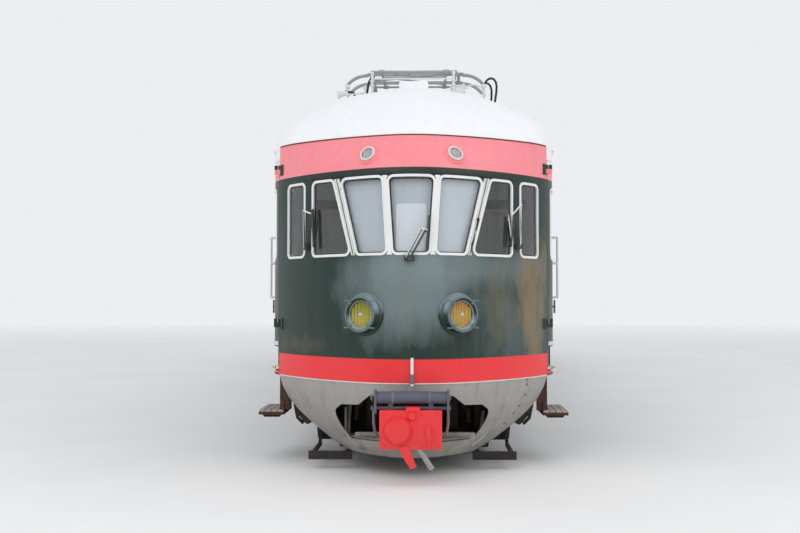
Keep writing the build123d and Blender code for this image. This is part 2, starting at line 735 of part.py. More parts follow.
def make_roof():
    t = (DOME_BACK_T, BODY_LENGTH - WALL)
    roof = roof_prism(0, CANTRAIL_H, t) - roof_prism(WALL, CANTRAIL_H - 1, t)
    for x, along in panto_feet():
        roof += block((x - 70, x + 70), (along - 70, along + 70), (CROWN_H - 110, CROWN_H)) \
            - roof_prism(WALL / 2, CANTRAIL_H - 1, t)
    save("roof", roof)


def make_end_wall():
    t = (BODY_LENGTH - WALL, BODY_LENGTH)
    wall = roof_prism(0, BODY_BOTTOM_H, t)
    wall -= block((-GANGWAY_DOOR_HALF, GANGWAY_DOOR_HALF), (t[0] - 10, t[1] + 10),
                  (FLOOR_H, GANGWAY_DOOR_TOP_H))
    outer = GANGWAY_DOOR_HALF + 190
    inner = GANGWAY_DOOR_HALF + 60
    bellows = block((-outer, outer), (t[1], t[1] + GANGWAY_DEPTH), (FLOOR_H - 170, GANGWAY_DOOR_TOP_H + 190))
    bellows -= block((-inner, inner), (t[1] - 1, t[1] + GANGWAY_DEPTH + 10),
                     (FLOOR_H - 40, GANGWAY_DOOR_TOP_H + 60))
    rail = block((-GANGWAY_DOOR_HALF - 20, GANGWAY_DOOR_HALF + END_DOOR_TRAVEL + 20),
                 (t[0] - SWING_GAP - END_DOOR_THICK - 26, t[0]),
                 (GANGWAY_DOOR_TOP_H + 60, GANGWAY_DOOR_TOP_H + 90))
    rail += block((-GANGWAY_DOOR_HALF - 20, GANGWAY_DOOR_HALF + END_DOOR_TRAVEL + 20),
                  (t[0] - SWING_GAP - END_DOOR_THICK - 26, t[0] - SWING_GAP - END_DOOR_THICK - SEAT_GAP),
                  (GANGWAY_DOOR_TOP_H + 30, GANGWAY_DOOR_TOP_H + 61))
    save("end_wall", wall + rail)
    save("gangway", bellows)

    leaf = block((-GANGWAY_DOOR_HALF - 15, GANGWAY_DOOR_HALF + 15),
                 (t[0] - SWING_GAP - END_DOOR_THICK, t[0] - SWING_GAP),
                 (FLOOR_H + SEAT_GAP, GANGWAY_DOOR_TOP_H + 54))
    plane = Plane(origin=(0, aft(t[0]), up(SIDE_GLASS_BOTTOM_H + SIDE_GLASS_HEIGHT / 2)),
                  x_dir=(1, 0, 0), z_dir=(0, -1, 0))
    leaf -= extrude(plane * RectangleRounded(440, SIDE_GLASS_HEIGHT, 60), 120)
    save("end_door", leaf)


def make_underframe():
    front = nose_form(WALL + SEAT_GAP)
    front &= block((-HALF_WIDTH, HALF_WIDTH), (0, DOME_BACK_T), (FLOOR_BOTTOM_H, FLOOR_H))
    frame = front + block((-INNER_HALF, INNER_HALF), (DOME_BACK_T, BODY_LENGTH - WALL),
                          (FLOOR_BOTTOM_H, FLOOR_H))
    for sign in (-1, 1):
        web = sorted((sign * SOLEBAR_X, sign * (SOLEBAR_X - 25)))
        lip = sorted((sign * SOLEBAR_X, sign * (SOLEBAR_X - 85)))
        frame += block(web, (SOLEBAR_FRONT_T, BODY_LENGTH - WALL), (SOLEBAR_BOTTOM_H, FLOOR_BOTTOM_H))
        frame += block(lip, (SOLEBAR_FRONT_T, BODY_LENGTH - WALL), (SOLEBAR_BOTTOM_H, SOLEBAR_BOTTOM_H + 15))
    for t in CROSS_BEAM_TS:
        frame += block((25 - SOLEBAR_X, SOLEBAR_X - 25), (t, t + 60), (SOLEBAR_BOTTOM_H + 5, FLOOR_BOTTOM_H))
    save("underframe", frame)

    bolsters = []
    for t in BOGIE_TS:
        seat = BOLSTER_TOP_H + SEAT_GAP
        beam = block((90 - SOLEBAR_X, SOLEBAR_X - 90), (t - 260, t + 260), (BOLSTER_TOP_H + 16, FLOOR_BOTTOM_H))
        beam += rod((0, t, seat), (0, t, FLOOR_BOTTOM_H), CENTRE_PLATE_RADIUS)
        beam += rod((0, t, BOLSTER_TOP_H - PIVOT_LENGTH), (0, t, FLOOR_BOTTOM_H), PIVOT_RADIUS)
        for x in (-BEARER_X, BEARER_X):
            beam += rod((x, t, seat), (x, t, FLOOR_BOTTOM_H), BEARER_RADIUS)
        bolsters.append(beam)
    save("body_bolsters", *bolsters)
    ends = ((COUPLER_PIVOT_T, 1), (BODY_LENGTH - COUPLER_PIVOT_T, -1))
    save("coupler_brackets", *[coupler_bracket(pivot_t, facing) for pivot_t, facing in ends])


def coupler_bracket(t, facing):
    """Clevis under the floor that holds the coupler's pin."""
    eye_half = COUPLER_EYE_RADIUS
    top = COUPLER_H + eye_half + SEAT_GAP
    bottom = COUPLER_H - eye_half - SEAT_GAP
    back = sorted((t + facing * 130, t + facing * 190))
    reach = sorted((t - facing * 110, t + facing * 150))
    bracket = block((-150, 150), reach, (top, top + 34))
    bracket += block((-150, 150), reach, (bottom - 34, bottom))
    bracket += block((-150, 150), back, (bottom - 34, FLOOR_BOTTOM_H))
    brace = [(t + facing * 190, top), (t + facing * 190, FLOOR_BOTTOM_H),
             (t - facing * 80, FLOOR_BOTTOM_H), (t - facing * 80, top + 20)]
    for x in (-150, 126):
        bracket += side_profile(brace, (x, x + 24))
    bracket += rod((0, t, bottom - 34), (0, t, top + 34), COUPLER_PIN_RADIUS)
    return bracket


def make_partitions():
    """Partitions behind the cab and beside the entrance."""
    front, rear = entrance_edges()
    walls = []
    for t in (2700.0, front - 120, rear + 80):
        wall = roof_prism(WALL + SEAT_GAP, FLOOR_H, (t, t + 40))
        wall -= block((-350, 350), (t - 5, t + 45), (FLOOR_H, 3080))
        walls.append(wall)
    save("partitions", *walls)


# columns: bench back centre behind the nose tip
BENCH_TS = [4150.0, 5550.0, 6950.0, 8350.0, 14200.0, 15600.0, 17000.0, 18400.0, 19800.0]
AISLE_HALF = 350.0


def make_seats():
    """Back-to-back benches, one solid each."""
    benches = []
    for t in BENCH_TS:
        outline = [
            (t - 200, FLOOR_H), (t - 200, FLOOR_H + 330), (t - 520, FLOOR_H + 350),
            (t - 530, FLOOR_H + 460), (t - 80, FLOOR_H + 430), (t - 30, FLOOR_H + 1060),
            (t + 30, FLOOR_H + 1060), (t + 80, FLOOR_H + 430), (t + 530, FLOOR_H + 460),
            (t + 520, FLOOR_H + 350), (t + 200, FLOOR_H + 330), (t + 200, FLOOR_H),
        ]
        benches.append(side_profile(outline, (AISLE_HALF, INNER_HALF - 5)))
    save("seats_right", *benches)
    save("seats_left", *[mirror(bench, Plane.YZ) for bench in benches])


def make_cab_inside():
    desk = nose_form(WALL + 4)
    desk &= block((-HALF_WIDTH, HALF_WIDTH), (0, 640), (FLOOR_H, FLOOR_H + 800))
    desk -= side_profile([(400, FLOOR_H - 1), (400, FLOOR_H + 640), (700, FLOOR_H + 600),
                          (700, FLOOR_H - 1)], (-1400, 1400))
    desk -= side_profile([(300, FLOOR_H + 801), (700, FLOOR_H + 690), (700, FLOOR_H + 801)],
                         (-1400, 1400))
    save("driver_desk", desk)

    x, t = 450.0, 1150.0
    seat = rod((x, t, FLOOR_H), (x, t, FLOOR_H + 400), 45)
    seat += rod((x, t, FLOOR_H), (x, t, FLOOR_H + 20), 190)
    seat += block((x - 230, x + 230), (t - 220, t + 230), (FLOOR_H + 400, FLOOR_H + 500))
    seat += side_profile([(t + 170, FLOOR_H + 480), (t + 230, FLOOR_H + 480),
                          (t + 300, FLOOR_H + 980), (t + 240, FLOOR_H + 990)], (x - 220, x + 220))
    save("driver_seat", seat)


RAIL_RADIUS = 13.0
CAB_RAIL_OFF = 95.0
CAB_RAIL_HEIGHTS_H = [1660.0, 2030.0, 2310.0]
ENTRANCE_RAIL_OFF = 55.0
ENTRANCE_RAIL_HEIGHTS_H = [1350.0, 2350.0]
ENTRANCE_RAIL_ASIDE = 70.0
# Short upright bar on the nose's lower band: x, how far it stands off, its ends and its two feet
NOSE_BAR_X = 10.0
NOSE_BAR_OFF = 30.0
NOSE_BAR_RADIUS = 14.0
NOSE_BAR_H = (850.0, 1105.0)
NOSE_BAR_FEET_H = [885.0, 1088.0]
NOSE_BAR_FOOT_RADIUS = 10.0


def wall_rail(t, off, heights):
    """Upright rail beside the wall with a foot at each height."""
    x = HALF_WIDTH + off
    rail = rod((x, t, heights[0]), (x, t, heights[-1]), RAIL_RADIUS)
    for h in heights:
        rail += rod((HALF_WIDTH, t, h), (x, t, h), RAIL_RADIUS)
        rail += Pos(x, aft(t), up(h)) * Sphere(RAIL_RADIUS)
    return rail


def make_handrails():
    rails = both_sides(wall_rail(CAB_RAIL_T, CAB_RAIL_OFF, CAB_RAIL_HEIGHTS_H))
    front, rear = entrance_edges()
    for t in (front - ENTRANCE_RAIL_ASIDE, rear + ENTRANCE_RAIL_ASIDE):
        rails += both_sides(wall_rail(t, ENTRANCE_RAIL_OFF, ENTRANCE_RAIL_HEIGHTS_H))
    bar_t = nose_face_t(NOSE_BAR_X, NOSE_BAR_FEET_H[0]) - NOSE_BAR_OFF
    low, high = [(NOSE_BAR_X, bar_t, h) for h in NOSE_BAR_H]
    bar = rod(low, high, NOSE_BAR_RADIUS)
    for h in NOSE_BAR_FEET_H:
        foot_end = (NOSE_BAR_X, bar_t + 2 * NOSE_BAR_OFF, h)
        bar += rod((NOSE_BAR_X, bar_t, h), foot_end, NOSE_BAR_FOOT_RADIUS)
    rails.append(bar - nose_form(-SEAT_GAP))
    save("handrails", *rails)


STEP_THICK = 30.0
STEP_KICK_HEIGHT = 110.0
STRAP_WIDE = 40.0
STRAP_THICK = 30.0
STRAP_FROM_END = 60.0
ENTRANCE_STEP_PROUD = 40.0
# Entrance steps: inner x and the height of the tread's top
ENTRANCE_STEPS = [(1180.0, 500.0), (1210.0, 815.0)]


def make_steps():
    tread = block(CAB_STEP_X, CAB_STEP_T, (CAB_STEP_H - STEP_THICK, CAB_STEP_H))
    kick_h = (CAB_STEP_H - STEP_THICK, CAB_STEP_H + STEP_KICK_HEIGHT)
    tread += block((CAB_STEP_X[0], CAB_STEP_X[0] + STEP_THICK), CAB_STEP_T, kick_h)
    for t in (CAB_STEP_T[0] + STRAP_FROM_END, CAB_STEP_T[1] - STRAP_FROM_END - STRAP_WIDE):
        x = nose_face_x(t) - WALL
        tread += block((x, x + STRAP_THICK), (t, t + STRAP_WIDE), (CAB_STEP_H - STEP_THICK, BODY_BOTTOM_H))
    front, rear = entrance_edges()
    span = (front + STRAP_FROM_END, rear - STRAP_FROM_END)
    ladder = None
    for inner_x, top in ENTRANCE_STEPS:
        rung = block((inner_x, HALF_WIDTH + ENTRANCE_STEP_PROUD), span, (top - STEP_THICK, top))
        ladder = rung if ladder is None else ladder + rung
    for t in (span[0], span[1] - STRAP_WIDE):
        ladder += block((INNER_HALF, INNER_HALF + STRAP_THICK), (t, t + STRAP_WIDE),
                        (ENTRANCE_STEPS[0][1] - STEP_THICK, BODY_BOTTOM_H))
    save("steps", *both_sides(tread), *both_sides(ladder))


# columns: name, x from, x to, t from, t to, bottom height
BOXES = [
    ("battery box", -1100.0, -380.0, 6700.0, 8000.0, 470.0),
    ("switch case", 380.0, 1100.0, 6700.0, 8100.0, 450.0),
    ("compressor", -1100.0, -500.0, 8700.0, 9700.0, 520.0),
    ("resistor case", 300.0, 1100.0, 12900.0, 14200.0, 500.0),
    ("brake case", -1100.0, -450.0, 13000.0, 14100.0, 540.0),
    ("heater case", -1100.0, -500.0, 14700.0, 15900.0, 560.0),
]
# columns: x, t from, t to, radius
TANKS = [(720.0, 8700.0, 10050.0, 190.0), (0.0, 12700.0, 14100.0, 170.0), (760.0, 14800.0, 16100.0, 190.0)]


def make_underfloor():
    pieces = []
    for _, x0, x1, t0, t1, bottom in BOXES:
        case = block((x0, x1), (t0, t1), (bottom, 960))
        case = chamfer(case.edges().filter_by(Axis.Y).group_by(Axis.Z)[0], 60)
        for t in (t0 + 100, t1 - 160):
            case += block((x0 + 60, x1 - 60), (t, t + 60), (950, FLOOR_BOTTOM_H))
        pieces.append(case)
    for x, t0, t1, radius in TANKS:
        h = 960 - radius
        tank = turned(
            [(0, 0), (0, radius * 0.7), (60, radius), (t1 - t0 - 60, radius),
             (t1 - t0, radius * 0.7), (t1 - t0, 0)],
            Vector(x, aft(t0), up(h)), Vector(0, 1, 0), Vector(1, 0, 0),
        )
        for t in (t0 + 200, t1 - 260):
            tank += block((x - 90, x + 90), (t, t + 60), (h + radius - 60, FLOOR_BOTTOM_H))
        pieces.append(tank)
    save("underfloor_equipment", *pieces)


# Couplers
def coupler_shank(pivot_t, reach_t):
    shank = rod((0, pivot_t, COUPLER_H), (0, reach_t, COUPLER_H), SHANK_RADIUS)
    eye = rod((0, pivot_t, COUPLER_H - COUPLER_EYE_RADIUS), (0, pivot_t, COUPLER_H + COUPLER_EYE_RADIUS),
              COUPLER_EYE_RADIUS)
    pin = rod((0, pivot_t, 0), (0, pivot_t, 1000), COUPLER_PIN_RADIUS + SEAT_GAP)
    return shank, eye, pin


def make_front_coupler():
    shank, eye, pin = coupler_shank(COUPLER_PIVOT_T, -COUPLER_REACH + HEAD_DEPTH - 10)
    face_t = -COUPLER_REACH + 70
    half = HEAD_WIDTH / 2
    low = COUPLER_H - HEAD_HEIGHT / 2
    high = COUPLER_H + HEAD_HEIGHT / 2
    head = block((-half, half), (face_t, -COUPLER_REACH + HEAD_DEPTH), (low, high))
    head = chamfer(head.edges().filter_by(Axis.Y), 6)
    boss = turned(
        [(-10, 0), (-10, 135), (30, 121), (70, 95), (70, 0)],
        Vector(-110, aft(face_t), up(470)), Vector(0, -1, 0), Vector(0, 0, 1),
    )
    knob = turned(
        [(-10, 0), (-10, 48), (18, 40), (34, 30), (34, 0)],
        Vector(13, aft(face_t), up(603)), Vector(0, -1, 0), Vector(0, 0, 1),
    )
    tab = block((-40, 84), (face_t - 12, face_t + 80), (high - 5, high + 30))
    latch = block((137, 180), (face_t - 34, face_t + 10), (400, 525))
    latch += rod((158, face_t - 20, 305), (158, face_t - 20, 410), 9)
    hook = front_profile([(-93, low + 30), (-20, low + 30), (52, 150), (0, 132), (-40, 190), (-93, 290)],
                         (face_t - 10, face_t + 50))
    hose = rod((62, face_t + 30, low + 20), (190, face_t + 10, 130), 24)
    neck = front_profile([(-150, low + 60), (150, low + 60), (150, high - 40), (-150, high - 40)],
                         (-COUPLER_REACH + HEAD_DEPTH - 5, -COUPLER_REACH + HEAD_DEPTH + 90))
    coupler = head + boss + knob + tab + latch + hook + hose + neck + shank + eye - pin
    save("front_coupler", coupler)

    length = (-305.0, 323.0)
    roller_h = 758.0
    roller_t = -COUPLER_REACH + 150
    roller = rod((length[0], roller_t, roller_h), (length[1], roller_t, roller_h), 55)
    for x in (length[0] - 22, length[1]):
        roller += block((x, x + 22), (roller_t - 62, roller_t + 62), (high - 30, 825))
    roller += rod((length[0] - 30, roller_t, 665), (length[1] + 30, roller_t, 665), 16)
    for x in (-180, 180):
        roller += block((x - 20, x + 20), (roller_t - 14, roller_t + 14), (high + SEAT_GAP, 720))
    roller -= block((-half - 1, half + 1), (face_t - 1, -COUPLER_REACH + HEAD_DEPTH + 1), (0, high + SEAT_GAP))
    roller -= block((-42, 86), (face_t - 14, face_t + 82), (0, high + 31))
    save("coupler_roller_box", roller)


def make_rear_coupler():
    reach_t = BODY_LENGTH + COUPLER_REACH
    shank, eye, pin = coupler_shank(BODY_LENGTH - COUPLER_PIVOT_T, reach_t - 30)
    flange = rod((0, reach_t - 40, COUPLER_H), (0, reach_t, COUPLER_H), 170)
    save("rear_coupler", shank + eye + flange - pin)


# Running gear
def wheelset(axle_t):
    """Axle with both wheels and journals, turned as one."""
    back = (GAUGE - 75) / 2
    rim = back + 135
    flange = WHEEL_RADIUS + FLANGE_DEPTH
    half = [
        (back - 30, AXLE_RADIUS), (back - 30, 130), (back + 42, 130), (back + 52, 395),
        (back, 402), (back, flange - 10), (back + 9, flange), (back + 20, flange),
        (back + 34, WHEEL_RADIUS + 3), (rim - 5, WHEEL_RADIUS - 3), (rim, WHEEL_RADIUS - 9),
        (rim, 402), (rim - 42, 395), (rim - 52, 130), (rim + 22, 130), (rim + 22, AXLE_RADIUS),
        (rim + 30, JOURNAL_RADIUS), (FRAME_X + 60, JOURNAL_RADIUS),
    ]
    points = [(-FRAME_X - 60, 0)] + [(-x, r) for x, r in reversed(half)] + half + [(FRAME_X + 60, 0)]
    return turned(points, Vector(0, aft(axle_t), up(WHEEL_RADIUS)), Vector(1, 0, 0), Vector(0, 1, 0))


def spring(x, t, low, high, radius, turns=5):
    """Coil spring as a stack of rounded turns."""
    pitch = (high - low) / turns
    points = [(0, 0)]
    for i in range(turns):
        points += [(i * pitch, radius - 16), (i * pitch + pitch * 0.3, radius),
                   (i * pitch + pitch * 0.7, radius)]
    points += [(high - low, radius - 16), (high - low, 0)]
    return turned(points, Vector(x, aft(t), up(low)), Vector(0, 0, 1), Vector(1, 0, 0))


def make_bogie(name, centre_t, leading):
    axles = (centre_t - WHEELBASE / 2, centre_t + WHEELBASE / 2)
    half_thick = BOGIE_FRAME_THICK / 2
    x = (FRAME_X - half_thick, FRAME_X + half_thick)
    end = WHEELBASE / 2 + 640
    outline = []
    for sign in (-1, 1):
        run = [(end, BOGIE_TOP_H - SIDE_DEPTH), (WHEELBASE / 2 - 420, BOGIE_TOP_H - SIDE_DEPTH),
               (WHEELBASE / 2 - 560, 440), (0, 400)]
        if sign == 1:
            run = list(reversed(run[:-1]))
        outline += [(centre_t + sign * t, h) for t, h in run]
    outline += [(centre_t + end, BOGIE_TOP_H), (centre_t - end, BOGIE_TOP_H)]
    side = side_profile(outline, x)
    side -= front_hole(centre_t, x)
    frame = side + mirror(side, Plane.YZ)
    for t in (centre_t - 520, centre_t + 440):
        frame += block((-FRAME_X, FRAME_X), (t, t + 80), (BOGIE_TOP_H - 330, BOGIE_TOP_H - 20))
    for sign in (-1, 1):
        t = sorted((centre_t + sign * (end - 70), centre_t + sign * end))
        frame += block((-FRAME_X, FRAME_X), t, (BOGIE_TOP_H - 140, BOGIE_TOP_H))
    bolster = block((-FRAME_X, FRAME_X), (centre_t - 200, centre_t + 200), (BOGIE_TOP_H - 180, BOGIE_TOP_H + 90))
    bolster += rod((0, centre_t, BOGIE_TOP_H), (0, centre_t, BOLSTER_TOP_H), CENTRE_PLATE_RADIUS)
    for sign in (-1, 1):
        bolster += rod((sign * BEARER_X, centre_t, BOGIE_TOP_H), (sign * BEARER_X, centre_t, BOLSTER_TOP_H),
                       BEARER_RADIUS)
    frame += bolster
    frame -= rod((0, centre_t, 0), (0, centre_t, 1200), PIVOT_RADIUS + SEAT_GAP)
    if leading:
        frame += rail_guards(centre_t - end)
    save(f"{name}_frame", frame)

    gear = []
    for axle in axles:
        box = block((FRAME_X - 75, FRAME_X + 85), (axle - 120, axle + 120), (WHEEL_RADIUS - 130, WHEEL_RADIUS + 150))
        box += rod((FRAME_X + 80, axle, WHEEL_RADIUS), (FRAME_X + 115, axle, WHEEL_RADIUS), 105)
        box += block((FRAME_X - 60, FRAME_X + 60), (axle - 330, axle + 330), (WHEEL_RADIUS - 130, WHEEL_RADIUS - 95))
        box -= rod((0, axle, WHEEL_RADIUS), (FRAME_X + 61, axle, WHEEL_RADIUS), JOURNAL_RADIUS + SEAT_GAP)
        gear += both_sides(box)
        for along in (-235, 235):
            low = WHEEL_RADIUS - 95 + SEAT_GAP
            high = BOGIE_TOP_H - SIDE_DEPTH - SEAT_GAP
            gear += both_sides(spring(FRAME_X, axle + along, low, high, 72))
    save(f"{name}_gear", *gear)


def front_hole(centre_t, x):
    """Lightening hole in the middle of the bogie's side frame."""
    return rod((x[0] - 5, centre_t, 590), (x[1] + 5, centre_t, 590), 90)


GUARD_T = 760.0
GUARD_H = (68.0, 148.0)
GUARD_POST_T = 1430.0


def rail_guards(front_t):
    """Boards over the rails ahead of the leading wheels, hung from the end beam."""
    beam_h = (BOGIE_TOP_H - 130, BOGIE_TOP_H - 60)
    guards = block((-1050, 1050), (GUARD_POST_T, front_t + 10), beam_h)
    for sign in (-1, 1):
        guards += block(sorted((sign * 590, sign * 1020)), (GUARD_T, GUARD_T + 40), GUARD_H)
        for x in (640, 975):
            span = sorted((sign * (x - 15), sign * (x + 15)))
            arm_h = (GUARD_H[1] - 40, GUARD_H[1])
            guards += block(span, (GUARD_T + 30, GUARD_POST_T + 50), arm_h)
            guards += block(span, (GUARD_POST_T, GUARD_POST_T + 50), (arm_h[0], beam_h[1]))
    return guards


def make_motors():
    motors = []
    centre_t = BOGIE_TS[0]
    for sign in (-1, 1):
        t = sorted((centre_t + sign * 520, centre_t + sign * 1180))
        case = block((-420, 420), t, (280, 860))
        case = chamfer(case.edges().filter_by(Axis.X), 110)
        motors.append(case)
    save("traction_motors", *motors)


# Pantograph
def panto_feet():
    return [(sx * 560.0, PANTO_T + st * 620.0) for sx in (-1, 1) for st in (-1, 1)]


def panto_point(part, sign):
    """Pivot places of the folded diamond as (t, h); sign -1 is the front half."""
    rise = PANTO_ARM * sin(radians(PANTO_FOLDED))
    run = PANTO_ARM * cos(radians(PANTO_FOLDED))
    places = {
        "base": (PANTO_SPREAD, PANTO_BASE_H),
        "knee": (PANTO_SPREAD + run, PANTO_BASE_H + rise),
        "head": (PANTO_SPREAD, PANTO_BASE_H + 2 * rise),
    }
    t, h = places[part]
    return PANTO_T + sign * t, h


def cross_tube(place, half, radius):
    return rod((-half, place[0], place[1]), (half, place[0], place[1]), radius)


def make_pantograph():
    frame_h = CROWN_H + 110
    base = None
    for x in (-560, 560):
        bar = block((x - 30, x + 30), (PANTO_T - 760, PANTO_T + 760), (frame_h, frame_h + 40))
        base = bar if base is None else base + bar
    for t in (PANTO_T - 760, PANTO_T + 700):
        base += block((-560, 560), (t, t + 60), (frame_h, frame_h + 40))
    for sign in (-1, 1):
        t, h = panto_point("base", sign)
        for x in (-1, 1):
            ear = block((x * 560 - 30, x * 560 + 30), (t - 45, t + 45), (frame_h + 30, h + 45))
            base += ear
        base -= cross_tube((t, h), 700, PANTO_TUBE + SEAT_GAP)
    insulators = []
    for x, t in panto_feet():
        points = [(0, 0), (0, 60), (15, 60), (20, 42)]
        for i in range(3):
            points += [(25 + i * 25, 42), (32 + i * 25, 66), (38 + i * 25, 42)]
        points += [(110, 42), (110, 0)]
        insulators.append(turned(points, Vector(x, aft(t), up(CROWN_H)), Vector(0, 0, 1), Vector(1, 0, 0)))
    save("pantograph_base", base)
    save("pantograph_insulators", *insulators)

    names = {-1: "front", 1: "rear"}
    for sign, name in names.items():
        foot = panto_point("base", sign)
        knee = panto_point("knee", sign)
        head = panto_point("head", sign)
        lower = cross_tube(foot, 585, PANTO_TUBE) + cross_tube(knee, PANTO_HALF + 20, PANTO_KNEE_TUBE)
        for x in (-PANTO_HALF, PANTO_HALF):
            lower += rod((x, *foot), (x, *knee), 18)
        save(f"pantograph_lower_{name}", lower)

        upper = None
        for x in (-PANTO_UPPER_HALF, PANTO_UPPER_HALF):
            bar = rod((x, *knee), (x, *head), 14)
            for place, radius in ((knee, PANTO_KNEE_TUBE), (head, PANTO_HEAD_TUBE)):
                bar += rod((x - 30, *place), (x + 30, *place), radius + 9)
            upper = bar if upper is None else upper + bar
        middle = ((knee[0] * 2 + head[0]) / 3, (knee[1] * 2 + head[1]) / 3)
        upper += rod((-PANTO_UPPER_HALF, *middle), (PANTO_UPPER_HALF, *middle), 11)
        near = ((knee[0] + head[0] * 5) / 6, (knee[1] + head[1] * 5) / 6)
        upper += rod((-PANTO_UPPER_HALF, *middle), (PANTO_UPPER_HALF, *near), 10)
        for place, radius in ((knee, PANTO_KNEE_TUBE), (head, PANTO_HEAD_TUBE)):
            upper -= cross_tube(place, 700, radius + SEAT_GAP)
        save(f"pantograph_upper_{name}", upper)

    front = panto_point("head", -1)
    rear = panto_point("head", 1)
    head = cross_tube(front, 545, PANTO_HEAD_TUBE) + cross_tube(rear, 545, PANTO_HEAD_TUBE)
    for x in (-535, 535):
        head += rod((x, *front), (x, *rear), 11)
        for place in (front, rear):
            head += rod((x, *place), (x, place[0], COLLECTOR_H - 10), 11)
    for place in (front, rear):
        head += collector(place[0])
    save("pantograph_head", head)


def collector(t):
    """Contact strip with downturned horns."""
    strip = block((-COLLECTOR_STRIP_HALF, COLLECTOR_STRIP_HALF),
                  (t - COLLECTOR_HALF_WIDE, t + COLLECTOR_HALF_WIDE),
                  (COLLECTOR_H - COLLECTOR_THICK, COLLECTOR_H))
    line = Spline(*[Vector(x, aft(t), up(COLLECTOR_H - drop)) for x, drop in HORN_POINTS])
    start = Plane(origin=line @ 0, z_dir=line % 0)
    horn = sweep(start * Circle(HORN_RADIUS), path=line)
    for piece in both_sides(horn):
        strip += piece
    return strip


# columns: t, x half, t half, height
ROOF_BOXES = [(1960.0, 160.0, 90.0, 115.0), (9000.0, 280.0, 700.0, 160.0), (15000.0, 280.0, 700.0, 160.0)]
VENT_TS = [6600.0, 7600.0, 11250.0, 12800.0, 17000.0, 18600.0, 20200.0]


def make_roof_equipment():
    pieces = []
    for t, half_x, half_t, height in ROOF_BOXES:
        case = block((-half_x, half_x), (t - half_t, t + half_t), (CROWN_H, CROWN_H + height))
        pieces.append(chamfer(case.edges().group_by(Axis.Z)[-1], 20))
    for t in VENT_TS:
        vent = rod((0, t, CROWN_H), (0, t, CROWN_H + 60), 110)
        vent += rod((0, t, CROWN_H + 50), (0, t, CROWN_H + 110), 180)
        pieces.append(vent)
    save("roof_equipment", *pieces)


os.makedirs("parts", exist_ok=True)
make_nose()
make_skirt()
make_dome()
make_lamps()
make_wipers()
make_side_walls()
make_entrance_doors()
make_cab_doors()
make_roof()
make_end_wall()
make_underframe()
make_partitions()
make_seats()
make_cab_inside()
make_handrails()
make_steps()
make_underfloor()
make_front_coupler()
make_rear_coupler()
for number, axle in enumerate(
    [bogie + side * WHEELBASE / 2 for bogie in BOGIE_TS for side in (-1, 1)], 1
):
    save(f"wheelset_{number}", wheelset(axle))
make_bogie("front_bogie", BOGIE_TS[0], True)
make_bogie("rear_bogie", BOGIE_TS[1], False)
make_motors()
make_pantograph()
make_roof_equipment()
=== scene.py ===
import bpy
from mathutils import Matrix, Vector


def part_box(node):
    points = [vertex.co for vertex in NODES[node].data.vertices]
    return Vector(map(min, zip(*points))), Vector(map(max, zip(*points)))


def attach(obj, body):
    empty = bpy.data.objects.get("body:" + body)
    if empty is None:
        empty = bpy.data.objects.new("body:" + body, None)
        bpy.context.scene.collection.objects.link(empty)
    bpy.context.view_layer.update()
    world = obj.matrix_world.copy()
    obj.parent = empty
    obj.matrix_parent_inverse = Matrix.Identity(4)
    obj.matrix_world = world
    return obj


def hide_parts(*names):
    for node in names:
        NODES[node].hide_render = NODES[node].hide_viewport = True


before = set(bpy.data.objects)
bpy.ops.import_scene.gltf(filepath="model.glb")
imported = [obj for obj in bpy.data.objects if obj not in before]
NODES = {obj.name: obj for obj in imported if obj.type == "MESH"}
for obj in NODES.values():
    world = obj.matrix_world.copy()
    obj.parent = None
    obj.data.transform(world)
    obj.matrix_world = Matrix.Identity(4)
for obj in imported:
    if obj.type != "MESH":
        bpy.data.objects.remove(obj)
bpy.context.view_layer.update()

from math import atan, cos, pi, radians, sin, sqrt

import bmesh
import bpy
from mathutils import Matrix, Vector
from mathutils.bvhtree import BVHTree

# Places are given in metres as x across, t behind the nose tip and h above the rail head
RAIL = 0.028
NOSE_TIP_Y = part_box("nose_shell")[0].y
HALF_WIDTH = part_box("roof")[1].x
SEAM_T = 1.19
SHOULDER_T = 1.5976
SHOULDER_RADIUS = 0.9
ROUND_T = 1.6
END_T = 22.5
FLOOR_H = 1.14
CROWN_H = 3.92
WHEEL_RADIUS = 0.475
SIDES = (-1, 1)

# The photograph's camera
PHOTO_WIDTH, PHOTO_HEIGHT = 800, 533
TRACK_VANISHES_AT = (428.0, 300.0)
CAMERA_DISTANCE = 9.5
CAMERA_SIDE = 0.155
EYE_HEIGHT = 1.63
SENSOR = 36.0
LENS = 46.9


def aft(t):
    """Y of a place t metres behind the nose tip."""
    return NOSE_TIP_Y + t


def up(height):
    """Z of a height above the rail head."""
    return RAIL + height


def at(x, t, h):
    return Vector((x, aft(t), up(h)))


def over_floor(x, t, h):
    return at(x, t, FLOOR_H + h)


def line(points, sign=1):
    """Places of (x, t, h) points, mirrored where sign is -1."""
    return [at(sign * x, t, h) for x, t, h in points]


def span(middle, half):
    """The two ends of a width about its middle."""
    return middle - half, middle + half


def both(sign, near, far):
    """Two xs on one side of the coach."""
    return sign * near, sign * far


def rise(height):
    return Vector((0, 0, height))


# Shapes
def shapes(count):
    """New empty shapes, each to be filled and finished."""
    return [bmesh.new() for _ in range(count)]


def block(bm, x, t, h):
    """Box between pairs of x, t and h, each in either order."""
    low, high = at(min(x), min(t), min(h)), at(max(x), max(t), max(h))
    verts = bmesh.ops.create_cube(bm, size=1.0)["verts"]
    bmesh.ops.scale(bm, vec=high - low, verts=verts)
    bmesh.ops.translate(bm, vec=(low + high) / 2, verts=verts)


def turn_to(direction):
    return Vector(direction).to_track_quat("Z", "Y").to_matrix().to_4x4()


